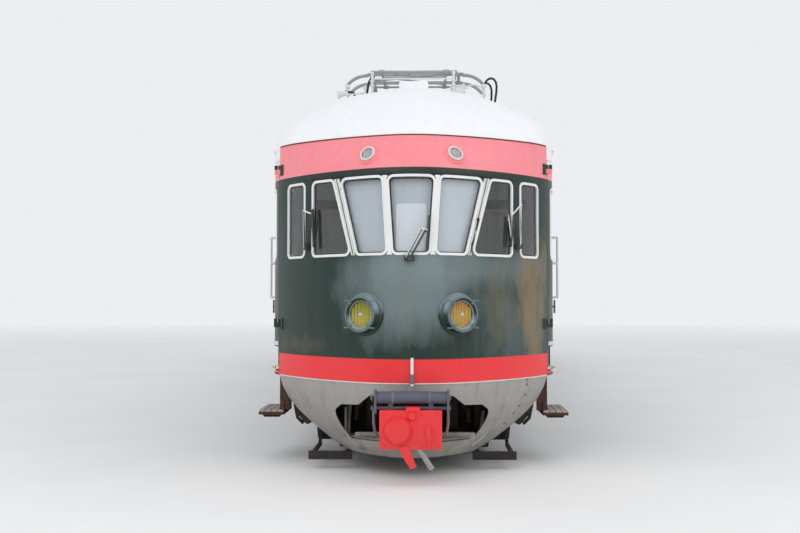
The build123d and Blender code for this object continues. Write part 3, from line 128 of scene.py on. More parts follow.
def rod(bm, start, end, radius, sides=12, end_radius=None):
    """Round bar or cone between two points."""
    bmesh.ops.create_cone(
        bm, cap_ends=True, segments=sides, radius1=radius,
        radius2=radius if end_radius is None else end_radius, depth=(end - start).length,
        matrix=Matrix.Translation((start + end) / 2) @ turn_to(end - start),
    )


def post(bm, foot, low, high, radius, sides):
    """Upright round bar between two heights over its foot."""
    rod(bm, foot + rise(low), foot + rise(high), radius, sides)


def bolt(bm, place, out, radius=0.012, height=0.009):
    """Hexagon head on a washer, looking along out."""
    out = Vector(out).normalized()
    rod(bm, place - out * 0.004, place + out * 0.003, radius * 1.45, 12)
    rod(bm, place, place + out * height, radius, 6, radius * 0.86)


def rim_edges(verts):
    ring = set(verts)
    return list({edge for vert in verts for edge in vert.link_edges if edge.other_vert(vert) in ring})


def tube(bm, points, radius, sides=8):
    """Round tube along a line of points, closed at both ends."""
    turn, last, before = None, None, None
    for i, point in enumerate(points):
        along = (points[min(i + 1, len(points) - 1)] - points[max(i - 1, 0)]).normalized()
        turn = along.to_track_quat("Z", "Y") if turn is None else last.rotation_difference(along) @ turn
        made = bmesh.ops.create_circle(
            bm, cap_ends=i in (0, len(points) - 1), segments=sides, radius=radius,
            matrix=Matrix.Translation(point) @ turn.to_matrix().to_4x4(),
        )
        ring = rim_edges(made["verts"])
        if before:
            bmesh.ops.bridge_loops(bm, edges=before + ring)
        last, before = along, ring


def turned(bm, profile, origin, direction, steps=32):
    """Spins (along, radius) pairs round a line."""
    place = Matrix.Translation(origin) @ turn_to(direction)
    verts = [bm.verts.new(place @ Vector((radius, 0.0, along))) for along, radius in profile]
    edges = [bm.edges.new(pair) for pair in zip(verts, verts[1:])]
    bmesh.ops.spin(bm, geom=verts + edges, cent=origin, axis=place.to_3x3() @ Vector((0, 0, 1)),
                   angle=2 * pi, steps=steps, use_merge=True)


def hoop(bm, profile, origin, direction, steps=32):
    """Closed ring: the profile's last point joins its first."""
    turned(bm, profile + profile[:1], origin, direction, steps)


def join(bm, part):
    """Moves a shape's faces into another shape."""
    mesh = bpy.data.meshes.new("part")
    part.to_mesh(mesh)
    part.free()
    bm.from_mesh(mesh)
    bpy.data.meshes.remove(mesh)


def coil(bm, foot, height, radius, wire, turns, sides=8, per_turn=14):
    """Upright coil spring."""
    part = bmesh.new()
    place = Matrix.Translation(foot + Vector((radius, 0, 0))) @ Matrix.Rotation(pi / 2, 4, "X")
    ring = bmesh.ops.create_circle(part, segments=sides, radius=wire, matrix=place)["verts"]
    steps = int(turns * per_turn)
    bmesh.ops.spin(part, geom=ring + rim_edges(ring), cent=foot, axis=(0, 0, 1), dvec=rise(height / steps),
                   angle=2 * pi * turns, steps=steps)
    open_edges = [edge for edge in part.edges if edge.is_boundary]
    bmesh.ops.holes_fill(part, edges=open_edges, sides=sides)
    join(bm, part)


def cut_apart(part, axis, step):
    """Cuts faces at even distances, so that they can follow a curve."""
    values = [vert.co[axis] for vert in part.verts]
    low, reach = min(values), max(values) - min(values)
    count = int(reach / step)
    normal = Vector((axis == 0, axis == 1, 0))
    for i in range(1, count + 1):
        geom = part.verts[:] + part.edges[:] + part.faces[:]
        bmesh.ops.bisect_plane(part, geom=geom, plane_co=normal * (low + reach * i / (count + 1)),
                               plane_no=normal, dist=0.00001)


def leave_border(bm, width):
    """Takes the faces away but for a border."""
    ring = set(bmesh.ops.inset_region(bm, faces=bm.faces[:], thickness=width, use_boundary=True,
                                      use_even_offset=True)["faces"])
    bmesh.ops.delete(bm, geom=[face for face in bm.faces if face not in ring], context="FACES")


def oblong(u, v):
    return [(u[0], v[0]), (u[1], v[0]), (u[1], v[1]), (u[0], v[1])]


def laid(bm, corners, place, thick, corner=0.0, border=0.0, steps=(0.05, 0.3)):
    """Plate bent on to a surface by place(u, v, w): rounded corners, and only its border where one is given.

    Two spans stand for the corners of an oblong.
    """
    part = bmesh.new()
    outline = oblong(*corners) if len(corners) == 2 else corners
    part.faces.new([part.verts.new((u, v, 0.0)) for u, v in outline])
    if corner:
        bmesh.ops.bevel(part, geom=part.verts[:], offset=corner, segments=5, profile=0.5,
                        affect="VERTICES", material=-1)
    if border:
        leave_border(part, border)
    for axis, step in enumerate(steps):
        cut_apart(part, axis, step)
    raised = bmesh.ops.extrude_face_region(part, geom=part.faces[:])["geom"]
    tops = [item for item in raised if isinstance(item, bmesh.types.BMVert)]
    bmesh.ops.translate(part, vec=rise(thick), verts=tops)
    for vert in part.verts:
        vert.co = place(*vert.co)
    join(bm, part)


def merged(*nodes):
    """Copy of CAD nodes with their loose triangles joined."""
    bm = bmesh.new()
    for node in nodes:
        bm.from_mesh(NODES[node].data)
    bmesh.ops.remove_doubles(bm, verts=bm.verts, dist=0.0002)
    return bm


SKIN = BVHTree.FromBMesh(merged("nose_shell", "windscreen_glass", "roof_dome", "nose_skirt", "roof",
                                "side_wall_right", "side_wall_left"))


def cast(origin, direction, off):
    hit, normal, _, _ = SKIN.ray_cast(origin, direction)
    if hit is None:
        return None
    if normal.dot(direction) > 0:
        normal = -normal
    return hit + normal * off


def on_front(x, h, off=0.0):
    """Place on the front's skin as seen from ahead, raised off it; beside a gap, its neighbour's depth."""
    for aside in (0.0, 0.006, -0.006, 0.014, -0.014, 0.03, -0.03):
        place = cast(at(x + aside, -2.0, h), Vector((0, 1, 0)), off)
        if place is not None and place.y < aft(1.7):
            return place - Vector((aside, 0, 0))
    return at(x, SEAM_T, h)


def around(angle, h, off=0.0):
    """Place on the skin in a direction, in degrees from straight ahead, round the cab."""
    way = Vector((sin(radians(angle)), -cos(radians(angle)), 0.0))
    return cast(at(0, ROUND_T, h) + way * 4.0, -way, off)


def on_roof(x, t, off=0.0):
    return cast(at(x, t, 5.0), Vector((0, 0, -1)), off)


def side_x(t):
    """Half width of the body at the cab door's curve and behind it."""
    short = max(SHOULDER_T - t, 0.0)
    return HALF_WIDTH - SHOULDER_RADIUS + sqrt(SHOULDER_RADIUS**2 - short**2)


# Place functions for plates: u and v run along the surface and w off it
def lay_on_front(off):
    return lambda u, v, w: on_front(u, v, off + w)


def lay_around(off):
    return lambda u, v, w: around(u, v, off + w)


def on_side(sign, off=0.0):
    return lambda u, v, w: at(sign * (side_x(u) + off + w), u, v)


def upright(t, way=1):
    """Plane across the coach."""
    return lambda u, v, w: at(u, t + way * w, v)


def finish(bm, name, material, body="car_body", replaces=(), crisp=35.0, bevel=0.0):
    """Turns a shape into a piece that rides on a body."""
    bmesh.ops.remove_doubles(bm, verts=bm.verts, dist=0.00005)
    bmesh.ops.recalc_face_normals(bm, faces=bm.faces)
    if bevel:
        sharp = [e for e in bm.edges if len(e.link_faces) == 2 and e.calc_face_angle(0) > radians(50)]
        bmesh.ops.bevel(bm, geom=sharp, offset=bevel, segments=2, profile=0.5, affect="EDGES",
                        clamp_overlap=True, material=-1)
    for face in bm.faces:
        face.smooth = True
    for edge in bm.edges:
        edge.smooth = edge.calc_face_angle(0) < radians(crisp)
    mesh = bpy.data.meshes.new(name)
    bm.to_mesh(mesh)
    bm.free()
    piece = bpy.data.objects.new(name, mesh)
    bpy.context.scene.collection.objects.link(piece)
    mesh.materials.append(MATERIALS[material])
    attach(piece, body)
    for node in replaces:
        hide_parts(node)
    return piece


# Material building blocks
MATERIALS = {}


def new_material(name):
    """Node tree of a new material, which is kept under its name."""
    MATERIALS[name] = bpy.data.materials.new(name)
    MATERIALS[name].use_nodes = True
    return MATERIALS[name].node_tree


def feed(tree, node, values):
    """Gives a node's inputs their values, or links them to the sockets that stand for values."""
    for key, value in values.items():
        if isinstance(value, bpy.types.NodeSocket):
            tree.links.new(value, node.inputs[key])
        else:
            node.inputs[key].default_value = value


def put(tree, kind, inputs=None, **settings):
    """Adds a shader node."""
    node = tree.nodes.new("ShaderNode" + kind)
    for key, value in settings.items():
        setattr(node, key, value)
    feed(tree, node, inputs or {})
    return node


def new_group(name, inputs):
    """Empty shader group with named inputs that puts out colour, roughness and height."""
    group = bpy.data.node_groups.new(name, "ShaderNodeTree")
    for socket_name, default in inputs.items():
        kind = "NodeSocketColor" if isinstance(default, tuple) else "NodeSocketFloat"
        socket = group.interface.new_socket(name=socket_name, in_out="INPUT", socket_type=kind)
        socket.default_value = default
    for socket_name, kind in (("Color", "Color"), ("Roughness", "Float"), ("Height", "Float")):
        group.interface.new_socket(name=socket_name, in_out="OUTPUT", socket_type="NodeSocket" + kind)
    return group, group.nodes.new("NodeGroupInput").outputs, group.nodes.new("NodeGroupOutput")


def noise(tree, vector, scale, detail=4.0, rough=0.6):
    inputs = {"Vector": vector, "Scale": scale, "Detail": detail, "Roughness": rough}
    return put(tree, "TexNoise", inputs).outputs["Fac"]


def spread(tree, value, low, high, to_low=0.0, to_high=1.0):
    """Maps a value between two limits, clamped."""
    inputs = {"Value": value, "From Min": low, "From Max": high, "To Min": to_low, "To Max": to_high}
    return put(tree, "MapRange", inputs).outputs["Result"]


def math(tree, operation, first, second):
    return put(tree, "Math", {0: first, 1: second}, operation=operation).outputs[0]


def times(tree, first, second):
    return math(tree, "MULTIPLY", first, second)


def plus(tree, first, second):
    return math(tree, "ADD", first, second)


def vector_math(tree, operation, first, second=None):
    inputs = {0: first} if second is None else {0: first, 1: second}
    return put(tree, "VectorMath", inputs, operation=operation).outputs


def mix(tree, factor, first, second):
    inputs = {"Factor": factor, 6: first, 7: second}
    return put(tree, "Mix", inputs, data_type="RGBA").outputs[2]


def places(tree):
    return put(tree, "TexCoord").outputs["Object"]


def facing(tree):
    return put(tree, "NewGeometry").outputs["Normal"]


def split(tree, vector):
    return put(tree, "SeparateXYZ", {"Vector": vector}).outputs


def stretched(tree, vector, scale):
    return put(tree, "Mapping", {"Vector": vector, "Scale": scale}).outputs["Vector"]


def rgb(*levels):
    """Display colour 0 to 255 as the linear colour that the shader takes."""
    shares = [level / 255.0 for level in levels]
    return (*(v / 12.92 if v <= 0.04045 else ((v + 0.055) / 1.055) ** 2.4 for v in shares), 1.0)


def make_weathering():
    """Faded, streaked and soiled paint: the same group dresses every painted surface."""
    group, given, result = new_group("weathered_paint", {
        "Paint": (0.1, 0.1, 0.1, 1), "Chalk": (0.5, 0.5, 0.5, 1), "Dirt": (0.08, 0.06, 0.045, 1),
        "Fade": 0.3, "Streaks": 0.3, "Soiling": 0.3, "Soil Height": 1.2, "Gloss": 0.35,
    })
    where = places(group)
    cloudy = spread(group, noise(group, where, 1.7, 6.0, 0.65), 0.22, 0.86)
    speckle = spread(group, noise(group, where, 38.0, 3.0, 0.7), 0.45, 0.75)
    patchy = plus(group, times(group, cloudy, 0.8), times(group, speckle, 0.12))
    faded = mix(group, times(group, patchy, given["Fade"]), given["Paint"], given["Chalk"])
    run = noise(group, stretched(group, where, (11.0, 11.0, 0.55)), 1.0, 5.0, 0.6)
    streak = times(group, spread(group, run, 0.52, 0.78), given["Streaks"])
    streaked = mix(group, streak, faded, given["Dirt"])
    low = spread(group, split(group, where)["Z"], 0.0, given["Soil Height"], 1.0, 0.0)
    splash = times(group, low, spread(group, noise(group, where, 5.0, 6.0, 0.7), 0.3, 0.7, 0.25, 1.0))
    soil = times(group, splash, given["Soiling"])
    grain = times(group, noise(group, where, 240.0, 2.0, 0.5), 0.1)
    waves = times(group, noise(group, where, 2.2, 1.0, 0.3), 0.6)
    feed(group, result, {
        "Color": mix(group, soil, streaked, given["Dirt"]),
        "Roughness": plus(group, given["Gloss"], times(group, plus(group, patchy, soil), 0.28)),
        "Height": plus(group, grain, waves),
    })
    return group


def make_rusting():
    """Brake dust with rust breaking through, for running gear and bare steel."""
    group, given, result = new_group("rusty_dust", {
        "Metal": (0.05, 0.05, 0.05, 1), "Rust": (0.2, 0.07, 0.03, 1), "Dust": (0.16, 0.12, 0.09, 1),
        "Rust Amount": 0.4, "Dust Amount": 0.4,
    })
    where = places(group)
    patches = spread(group, noise(group, where, 7.0, 8.0, 0.72), 0.46, 0.66)
    fine = noise(group, where, 60.0, 5.0, 0.7)
    rusted = mix(group, times(group, patches, given["Rust Amount"]), given["Metal"], given["Rust"])
    level = spread(group, split(group, facing(group))["Z"], 0.0, 0.9, 0.2, 1.0)
    lying = times(group, level, spread(group, fine, 0.3, 0.65))
    feed(group, result, {
        "Color": mix(group, times(group, lying, given["Dust Amount"]), rusted, given["Dust"]),
        "Roughness": spread(group, fine, 0.2, 0.8, 0.55, 0.9),
        "Height": plus(group, times(group, fine, 0.6), times(group, patches, 0.5)),
    })
    return group


WEATHERING = make_weathering()
RUSTING = make_rusting()


def shade(tree, values, height=None, bump=0.15, distance=0.002):
    """Feeds a material's shader, with relief from a height."""
    if height:
        relief = put(tree, "Bump", {"Height": height, "Strength": bump, "Distance": distance})
        values["Normal"] = relief.outputs["Normal"]
    feed(tree, tree.nodes["Principled BSDF"], values)


def dress(tree, group, given, others, bump, distance=0.002):
    """Shades a material with a shared group's colour, roughness and height."""
    made = put(tree, "Group", given, node_tree=group).outputs
    shade(tree, {"Base Color": made["Color"], "Roughness": made["Roughness"], **others}, made["Height"],
          bump, distance)


def let_light_through(name, alpha):
    """Lamps and daylight pass through the material, less the share that it holds back."""
    tree = MATERIALS[name].node_tree
    shadow = put(tree, "LightPath").outputs["Is Shadow Ray"]
    shade(tree, {"Alpha": spread(tree, shadow, 0.0, 1.0, 1.0, alpha)})


# Colours read from the photograph
GREEN = rgb(22, 44, 37)
GREEN_CHALK = rgb(52, 76, 68)
GREY_BLOOM = rgb(134, 148, 150)
OCHRE = rgb(136, 116, 80)
# Pale blue of a painted sky reflection on the lamp housings' upward-facing tops
SKY_REFLECTION_ON_TOPS = rgb(146, 164, 172)
RED = rgb(240, 44, 50)
RED_CHALK = rgb(242, 98, 102)
UPPER_RED = rgb(250, 138, 146)
UPPER_RED_CHALK = rgb(253, 180, 186)
ROOF_WHITE = rgb(245, 246, 248)
ROOF_CHALK = rgb(228, 230, 234)
INNER_CREAM = rgb(206, 200, 176)
RUN_OFF = rgb(116, 98, 66)

# Lamp centres, x and h
HEADLAMP = (0.432, 1.497)
MARKER = (0.406, 3.002)

# Bands of the coach's paint: heights, colour, faded colour, and the t where one ends
LOWER_BAND = ((0.862, 1.088), RED, RED_CHALK)
UPPER_BAND = ((2.868, 3.23), UPPER_RED, UPPER_RED_CHALK)
DOOR_BAND = ((2.868, 2.955), UPPER_RED, UPPER_RED_CHALK)
LOW_LINE = ((0.885, 0.915), RED, RED_CHALK)
HIGH_LINE = ((3.1, 3.13), RED, RED_CHALK)
EAVE_BAND = ((3.02, 3.3), ROOF_WHITE, ROOF_CHALK)
CAB_EAVE_T = 1.83

# Worn places on the nose: x and h, reach across and up, how torn, noise scale, colour, strength
WORN_PLACES = [
    ((0.02, 1.74), (0.74, 0.6), 1.7, 1.7, GREY_BLOOM, 0.66),
    ((0.45, 1.95), (1.2, 0.22), 1.6, 2.4, GREY_BLOOM, 0.45),
    ((0.95, 1.35), (0.5, 0.6), 2.0, 2.6, GREY_BLOOM, 0.24),
    ((1.19, 1.75), (0.17, 0.75), 2.8, 7.0, OCHRE, 0.68),
    ((1.2, 1.25), (0.1, 0.55), 2.8, 9.0, OCHRE, 0.55),
    ((0.84, 1.6), (0.16, 0.4), 3.0, 9.0, OCHRE, 0.25),
    ((-1.12, 1.2), (0.3, 0.1), 2.8, 8.0, OCHRE, 0.16),
]


def band(tree, height, low, high, soft=0.003):
    """Mask that is one between two heights."""
    above = spread(tree, height, *span(up(low), soft))
    return times(tree, above, spread(tree, height, *span(up(high), soft), 1.0, 0.0))


def oval(tree, where, middle, reach, torn, scale):
    """Mask that fades out with a torn edge round a place."""
    away = vector_math(tree, "SUBTRACT", where, middle)[0]
    share = vector_math(tree, "DIVIDE", away, reach)[0]
    length = vector_math(tree, "LENGTH", share)["Value"]
    rough = noise(tree, stretched(tree, where, (1.0, 1.0, 0.45)), scale, 6.0, 0.65)
    ragged = plus(tree, length, times(tree, math(tree, "SUBTRACT", rough, 0.5), torn))
    return spread(tree, ragged, 0.35, 1.1, 1.0, 0.0)


def facing_inward(tree, where):
    """Mask that is one on the inner side of the walls and of the nose."""
    ahead = math(tree, "MINIMUM", math(tree, "SUBTRACT", where["Y"], aft(2.0)), 0.0)
    level = math(tree, "SUBTRACT", where["Z"], up(2.3))
    away = put(tree, "CombineXYZ", {"X": where["X"], "Y": ahead, "Z": level}).outputs["Vector"]
    outward = vector_math(tree, "DOT_PRODUCT", away, facing(tree))["Value"]
    return spread(tree, outward, -0.03, -0.01, 1.0, 0.0)


def make_coach_paint(name, bands, worn=(), fade=0.34, sky_reflection=0.0):
    """Green coach paint with its worn places and bands, and with cream inside, or else a painted sky
    reflection on the tops that face upward.
    """
    tree = new_material(name)
    where = places(tree)
    axes = split(tree, where)
    layers = []
    for (x, h), (across, high), torn, scale, colour, strength in worn:
        patch = oval(tree, where, (x, 0.0, up(h)), (across, 90.0, high), torn, scale)
        layers.append((times(tree, patch, strength), colour, colour))
    # Faces that look upward turn pale blue: a painted reflection of the sky
    if sky_reflection:
        level = spread(tree, split(tree, facing(tree))["Z"], -0.05, 0.35)
        layers.append((times(tree, level, sky_reflection), SKY_REFLECTION_ON_TOPS, SKY_REFLECTION_ON_TOPS))
    for (low, high), colour, pale, *last_t in bands:
        mask = band(tree, axes["Z"], low, high)
        for t in last_t:
            mask = times(tree, mask, spread(tree, axes["Y"], *span(aft(t), 0.003), 1.0, 0.0))
        layers.append((mask, colour, pale))
    if not sky_reflection:
        layers.append((facing_inward(tree, axes), INNER_CREAM, INNER_CREAM))
    paint, chalk = GREEN, GREEN_CHALK
    for mask, colour, pale in layers:
        paint = mix(tree, mask, paint, colour)
        chalk = mix(tree, mask, chalk, pale)
    dress(tree, WEATHERING, {
        "Paint": paint, "Chalk": chalk, "Dirt": RUN_OFF, "Fade": fade, "Streaks": 0.14,
        "Soiling": 0.35, "Soil Height": 1.0, "Gloss": 0.26,
    }, {"Specular IOR Level": 0.35}, 0.06)


make_coach_paint("nose_paint", [LOWER_BAND, UPPER_BAND], WORN_PLACES)
# The lamp housings get a painted sky reflection on their tops
make_coach_paint("lamp_paint", [UPPER_BAND], fade=0.45, sky_reflection=0.85)
make_coach_paint("cab_door_paint", [LOW_LINE, DOOR_BAND, EAVE_BAND])
make_coach_paint("side_paint", [LOW_LINE, HIGH_LINE, (*EAVE_BAND, CAB_EAVE_T)])

# Plain paints and cloths: colour, faded colour, fade, streaks, soiling, gloss and how high the soil reaches
PAINTS = {
    "roof_paint": (ROOF_WHITE, ROOF_CHALK, 0.5, 0.06, 0.0, 0.5, 1.2),
    "skirt_paint": (rgb(168, 166, 160), rgb(146, 142, 135), 0.6, 0.35, 0.75, 0.45, 0.9),
    "skirt_dark": (rgb(126, 116, 108), rgb(148, 142, 134), 0.5, 0.3, 0.2, 0.6, 1.2),
    "lamp_green": (rgb(30, 46, 42), rgb(70, 86, 80), 0.3, 0.1, 0.0, 0.3, 1.2),
    "lamp_rim": (rgb(84, 100, 104), rgb(150, 166, 172), 0.55, 0.1, 0.0, 0.3, 1.2),
    "silver": (rgb(156, 162, 162), rgb(112, 116, 114), 0.5, 0.0, 0.0, 0.2, 1.2),
    "red_glass": (rgb(150, 24, 22), rgb(120, 30, 26), 0.3, 0.0, 0.0, 0.1, 1.2),
    "coupler_red": (rgb(240, 42, 48), rgb(244, 86, 88), 0.35, 0.12, 0.3, 0.3, 0.7),
    "roller_grey": (rgb(78, 82, 98), rgb(122, 126, 140), 0.5, 0.2, 0.3, 0.45, 1.2),
    "worn_grey": (rgb(108, 108, 108), rgb(146, 146, 144), 0.5, 0.3, 0.3, 0.45, 1.2),
    "worn_white": (rgb(226, 228, 226), rgb(176, 174, 164), 0.45, 0.25, 0.1, 0.45, 1.2),
    "bright_metal": (rgb(238, 239, 238), rgb(204, 205, 202), 0.4, 0.1, 0.0, 0.3, 1.2),
    "dark_steel": (rgb(60, 61, 60), rgb(92, 92, 88), 0.4, 0.3, 0.4, 0.5, 1.2),
    "pale_iron": (rgb(164, 166, 168), rgb(112, 112, 110), 0.6, 0.2, 0.0, 0.5, 1.2),
    "joint_brown": (rgb(96, 44, 44), rgb(128, 84, 80), 0.4, 0.2, 0.0, 0.5, 1.2),
    "carbon_brown": (rgb(104, 88, 76), rgb(60, 54, 50), 0.6, 0.0, 0.0, 0.6, 1.2),
    "grey_timber": (rgb(180, 175, 168), rgb(140, 132, 124), 0.7, 0.5, 0.3, 0.7, 0.8),
    "inner_cream": (rgb(206, 196, 164), rgb(180, 170, 140), 0.3, 0.0, 0.0, 0.4, 1.2),
    "partition_paint": (rgb(236, 240, 240), rgb(176, 184, 184), 0.6, 0.5, 0.0, 0.4, 1.2),
    "sun_card": (rgb(236, 240, 246), rgb(224, 230, 238), 0.5, 0.0, 0.0, 0.6, 1.2),
    "blind_cloth": (rgb(206, 212, 222), rgb(178, 188, 198), 0.5, 0.1, 0.0, 0.7, 1.2),
    "bellows_cloth": (rgb(38, 37, 36), rgb(66, 62, 58), 0.6, 0.3, 0.3, 0.6, 1.2),
}
PAINT_INPUTS = ("Paint", "Chalk", "Fade", "Streaks", "Soiling", "Gloss", "Soil Height")
for name, values in PAINTS.items():
    dress(new_material(name), WEATHERING, dict(zip(PAINT_INPUTS, values)), {}, 0.15)
let_light_through("blind_cloth", 0.3)

# Rusting steel: metal, rust, dust, amounts of rust and dust, metallic
STEELS = {
    "black_gear": (rgb(34, 31, 29), rgb(86, 48, 30), rgb(92, 80, 66), 0.45, 0.45, 0.0),
    "wheel_iron": (rgb(74, 64, 56), rgb(104, 60, 36), rgb(104, 88, 72), 0.6, 0.3, 0.3),
    "red_rust": (rgb(64, 40, 34), rgb(106, 54, 40), rgb(104, 84, 70), 0.7, 0.3, 0.0),
}
STEEL_INPUTS = ("Metal", "Rust", "Dust", "Rust Amount", "Dust Amount")
for name, (*values, metallic) in STEELS.items():
    dress(new_material(name), RUSTING, dict(zip(STEEL_INPUTS, values)), {"Metallic": metallic}, 0.4, 0.003)


def make_rubber():
    tree = new_material("rubber_black")
    where = places(tree)
    bloom = spread(tree, noise(tree, where, 14.0, 5.0, 0.6), 0.4, 0.7)
    shade(tree, {"Base Color": mix(tree, bloom, rgb(24, 24, 24), rgb(52, 50, 47)),
                 "Roughness": spread(tree, bloom, 0.0, 1.0, 0.55, 0.85)},
          noise(tree, where, 180.0), 0.2, 0.001)


def make_window_glass():
    tree = new_material("window_glass")
    film = spread(tree, noise(tree, places(tree), 3.0, 5.0, 0.6), 0.4, 0.75, 0.02, 0.12)
    shade(tree, {"Base Color": (0.95, 0.97, 0.97, 1), "Roughness": film,
                 "Transmission Weight": 1.0, "IOR": 1.45})
    let_light_through("window_glass", 0.1)


def make_lamp_glass():
    """Fluted lenses: yellow-green on the left, amber on the right, clear in the marker lamps above them."""
    tree = new_material("lamp_glass")
    where = places(tree)
    axes = split(tree, where)
    flutes = put(tree, "TexWave", {"Vector": where, "Scale": 10.0, "Distortion": 0.25},
                 wave_type="BANDS", bands_direction="X")
    left = mix(tree, spread(tree, noise(tree, where, 6.0), 0.3, 0.7), rgb(186, 190, 62), rgb(222, 204, 100))
    right = mix(tree, spread(tree, noise(tree, where, 7.0), 0.3, 0.7), rgb(214, 168, 62), rgb(240, 204, 120))
    side = spread(tree, axes["X"], -0.1, 0.1)
    upper = spread(tree, axes["Z"], up(HEADLAMP[1] - 0.02), up(HEADLAMP[1] + 0.13), 0.0, 0.75)
    shaded = mix(tree, side, rgb(138, 140, 52), rgb(196, 124, 52))
    tone = mix(tree, upper, mix(tree, side, left, right), shaded)
    tone = mix(tree, spread(tree, axes["Z"], 2.4, 2.5), tone, rgb(206, 214, 214))
    shade(tree, {"Base Color": tone, "Roughness": 0.12, "Transmission Weight": 0.35, "IOR": 1.45},
          flutes.outputs["Fac"], 1.0, 0.01)


def make_wood(name, dark, light):
    tree = new_material(name)
    where = stretched(tree, places(tree), (6.0, 6.0, 0.7))
    wave = {"Vector": where, "Scale": 3.0, "Distortion": 6.0, "Detail": 4.0}
    rings = put(tree, "TexWave", wave).outputs["Fac"]
    shade(tree, {"Base Color": mix(tree, rings, dark, light),
                 "Roughness": spread(tree, noise(tree, where, 9.0), 0.3, 0.7, 0.25, 0.42)}, rings, 0.1, 0.001)


def make_leather():
    tree = new_material("seat_leather")
    where = places(tree)
    pores = put(tree, "TexVoronoi", {"Vector": where, "Scale": 420.0}).outputs["Distance"]
    worn = spread(tree, noise(tree, where, 5.0, 6.0, 0.65), 0.4, 0.7)
    shade(tree, {"Base Color": mix(tree, worn, rgb(84, 40, 28), rgb(122, 66, 46)),
                 "Roughness": spread(tree, worn, 0.0, 1.0, 0.5, 0.34)}, pores, 0.35, 0.0008)


def make_porcelain():
    tree = new_material("brown_porcelain")
    grime = spread(tree, noise(tree, places(tree), 12.0, 5.0), 0.4, 0.7)
    shade(tree, {"Base Color": mix(tree, grime, rgb(112, 52, 34), rgb(70, 46, 38)),
                 "Roughness": spread(tree, grime, 0.0, 1.0, 0.12, 0.5)})


make_rubber()
make_window_glass()
make_lamp_glass()
make_wood("varnished_wood", rgb(112, 66, 38), rgb(158, 100, 60))
make_wood("pale_wood", rgb(196, 148, 96), rgb(226, 182, 130))
make_leather()
make_porcelain()

# Materials of the CAD nodes whose names start so: the first that fits counts, and black_gear where none does
NODE_MATERIALS = [
    ("nose_shell", "nose_paint"), ("nose_skirt", "skirt_paint"), ("roof", "roof_paint"),
    ("side_wall", "side_paint"), ("end_wall", "side_paint"), ("entrance_leaf", "side_paint"),
    ("cab_door", "cab_door_paint"), ("gangway", "rubber_black"), ("end_door", "varnished_wood"),
    ("windscreen_frames", "bright_metal"), ("side_window_frames", "bright_metal"),
    ("windscreen_glass", "window_glass"), ("side_window_glass", "window_glass"),
    ("partitions", "partition_paint"), ("seats", "seat_leather"), ("driver_seat", "seat_leather"),
    ("driver_desk", "inner_cream"), ("lamp_housings", "lamp_paint"), ("lamp_lenses", "lamp_glass"),
    ("wipers", "dark_steel"), ("handrails", "bright_metal"), ("steps", "red_rust"),
    ("pantograph_insulators", "brown_porcelain"), ("pantograph", "pale_iron"), ("wheelset", "wheel_iron"),
    ("front_coupler", "coupler_red"), ("coupler_roller_box", "roller_grey"), ("rear_coupler", "dark_steel"),
]


def finish_cad_nodes():
    for name, node in NODES.items():
        fitting = [material for start, material in NODE_MATERIALS if name.startswith(start)]
        node.data.materials.clear()
        node.data.materials.append(MATERIALS[(fitting + ["black_gear"])[0]])


# Nose and cab; outlines are (x, h) points
FRONT_PILLARS = [
    [(0.18, 2.046), (0.213, 2.046), (0.2575, 2.79), (0.23, 2.79)],
    [(0.172, 2.046), (0.223, 2.046), (0.215, 2.072), (0.179, 2.072)],
    [(0.222, 2.768), (0.266, 2.768), (0.27, 2.788), (0.218, 2.788)],
]
CORNER_POST = [(0.524, 2.048), (0.56, 2.048), (0.744, 2.788), (0.69, 2.788)]
SIDE_BLIND = [(0.243, 2.07), (0.5, 2.07), (0.668, 2.765), (0.283, 2.765)]
MIDDLE_BLIND = [(-0.155, 2.068), (0.155, 2.068), (0.208, 2.765), (-0.208, 2.765)]
SEAL_WIDTH, SEAL_THICK = 0.011, 0.007
CAB_BACK_T = 2.698
SKIRT_BOLTS = [(1.13, 0.85), (1.127, 0.801), (1.109, 0.698), (1.052, 0.588), (0.994, 0.521), (0.9, 0.425)]
HINGE_HEIGHTS = [1.395, 2.97]
DOOR_WINDOW_T = (1.31, 1.69)
KNOB_T, KNOB_H = 1.736, 1.385
GLASS_H = (2.064, 2.77)
SEAM_ANGLES = [i * 3.0 - 72.0 for i in range(49)]
GUTTER_T = (1.62, 22.46)


def mirror(outline):
    return [[(sign * x, h) for x, h in outline] for sign in SIDES]


def lamp_axis(x, h, step=0.05):
    """Centre of a lamp on the skin, the way it looks, and the way across it."""
    across = on_front(x + step, h) - on_front(x - step, h)
    rising = on_front(x, h + step) - on_front(x, h - step)
    return on_front(x, h), across.cross(rising).normalized(), across.normalized()


def seal_panes(node, way_out, name):
    """Rubber seals lying round the edge of each of a node's panes."""
    bm = merged(node)
    bmesh.ops.recalc_face_normals(bm, faces=bm.faces)
    hidden = [face for face in bm.faces if face.normal.dot(way_out(face.calc_center_median())) < 0.7]
    bmesh.ops.delete(bm, geom=hidden, context="FACES")
    leave_border(bm, SEAL_WIDTH)
    bmesh.ops.solidify(bm, geom=bm.faces[:], thickness=SEAL_THICK)
    finish(bm, name, "rubber_black")


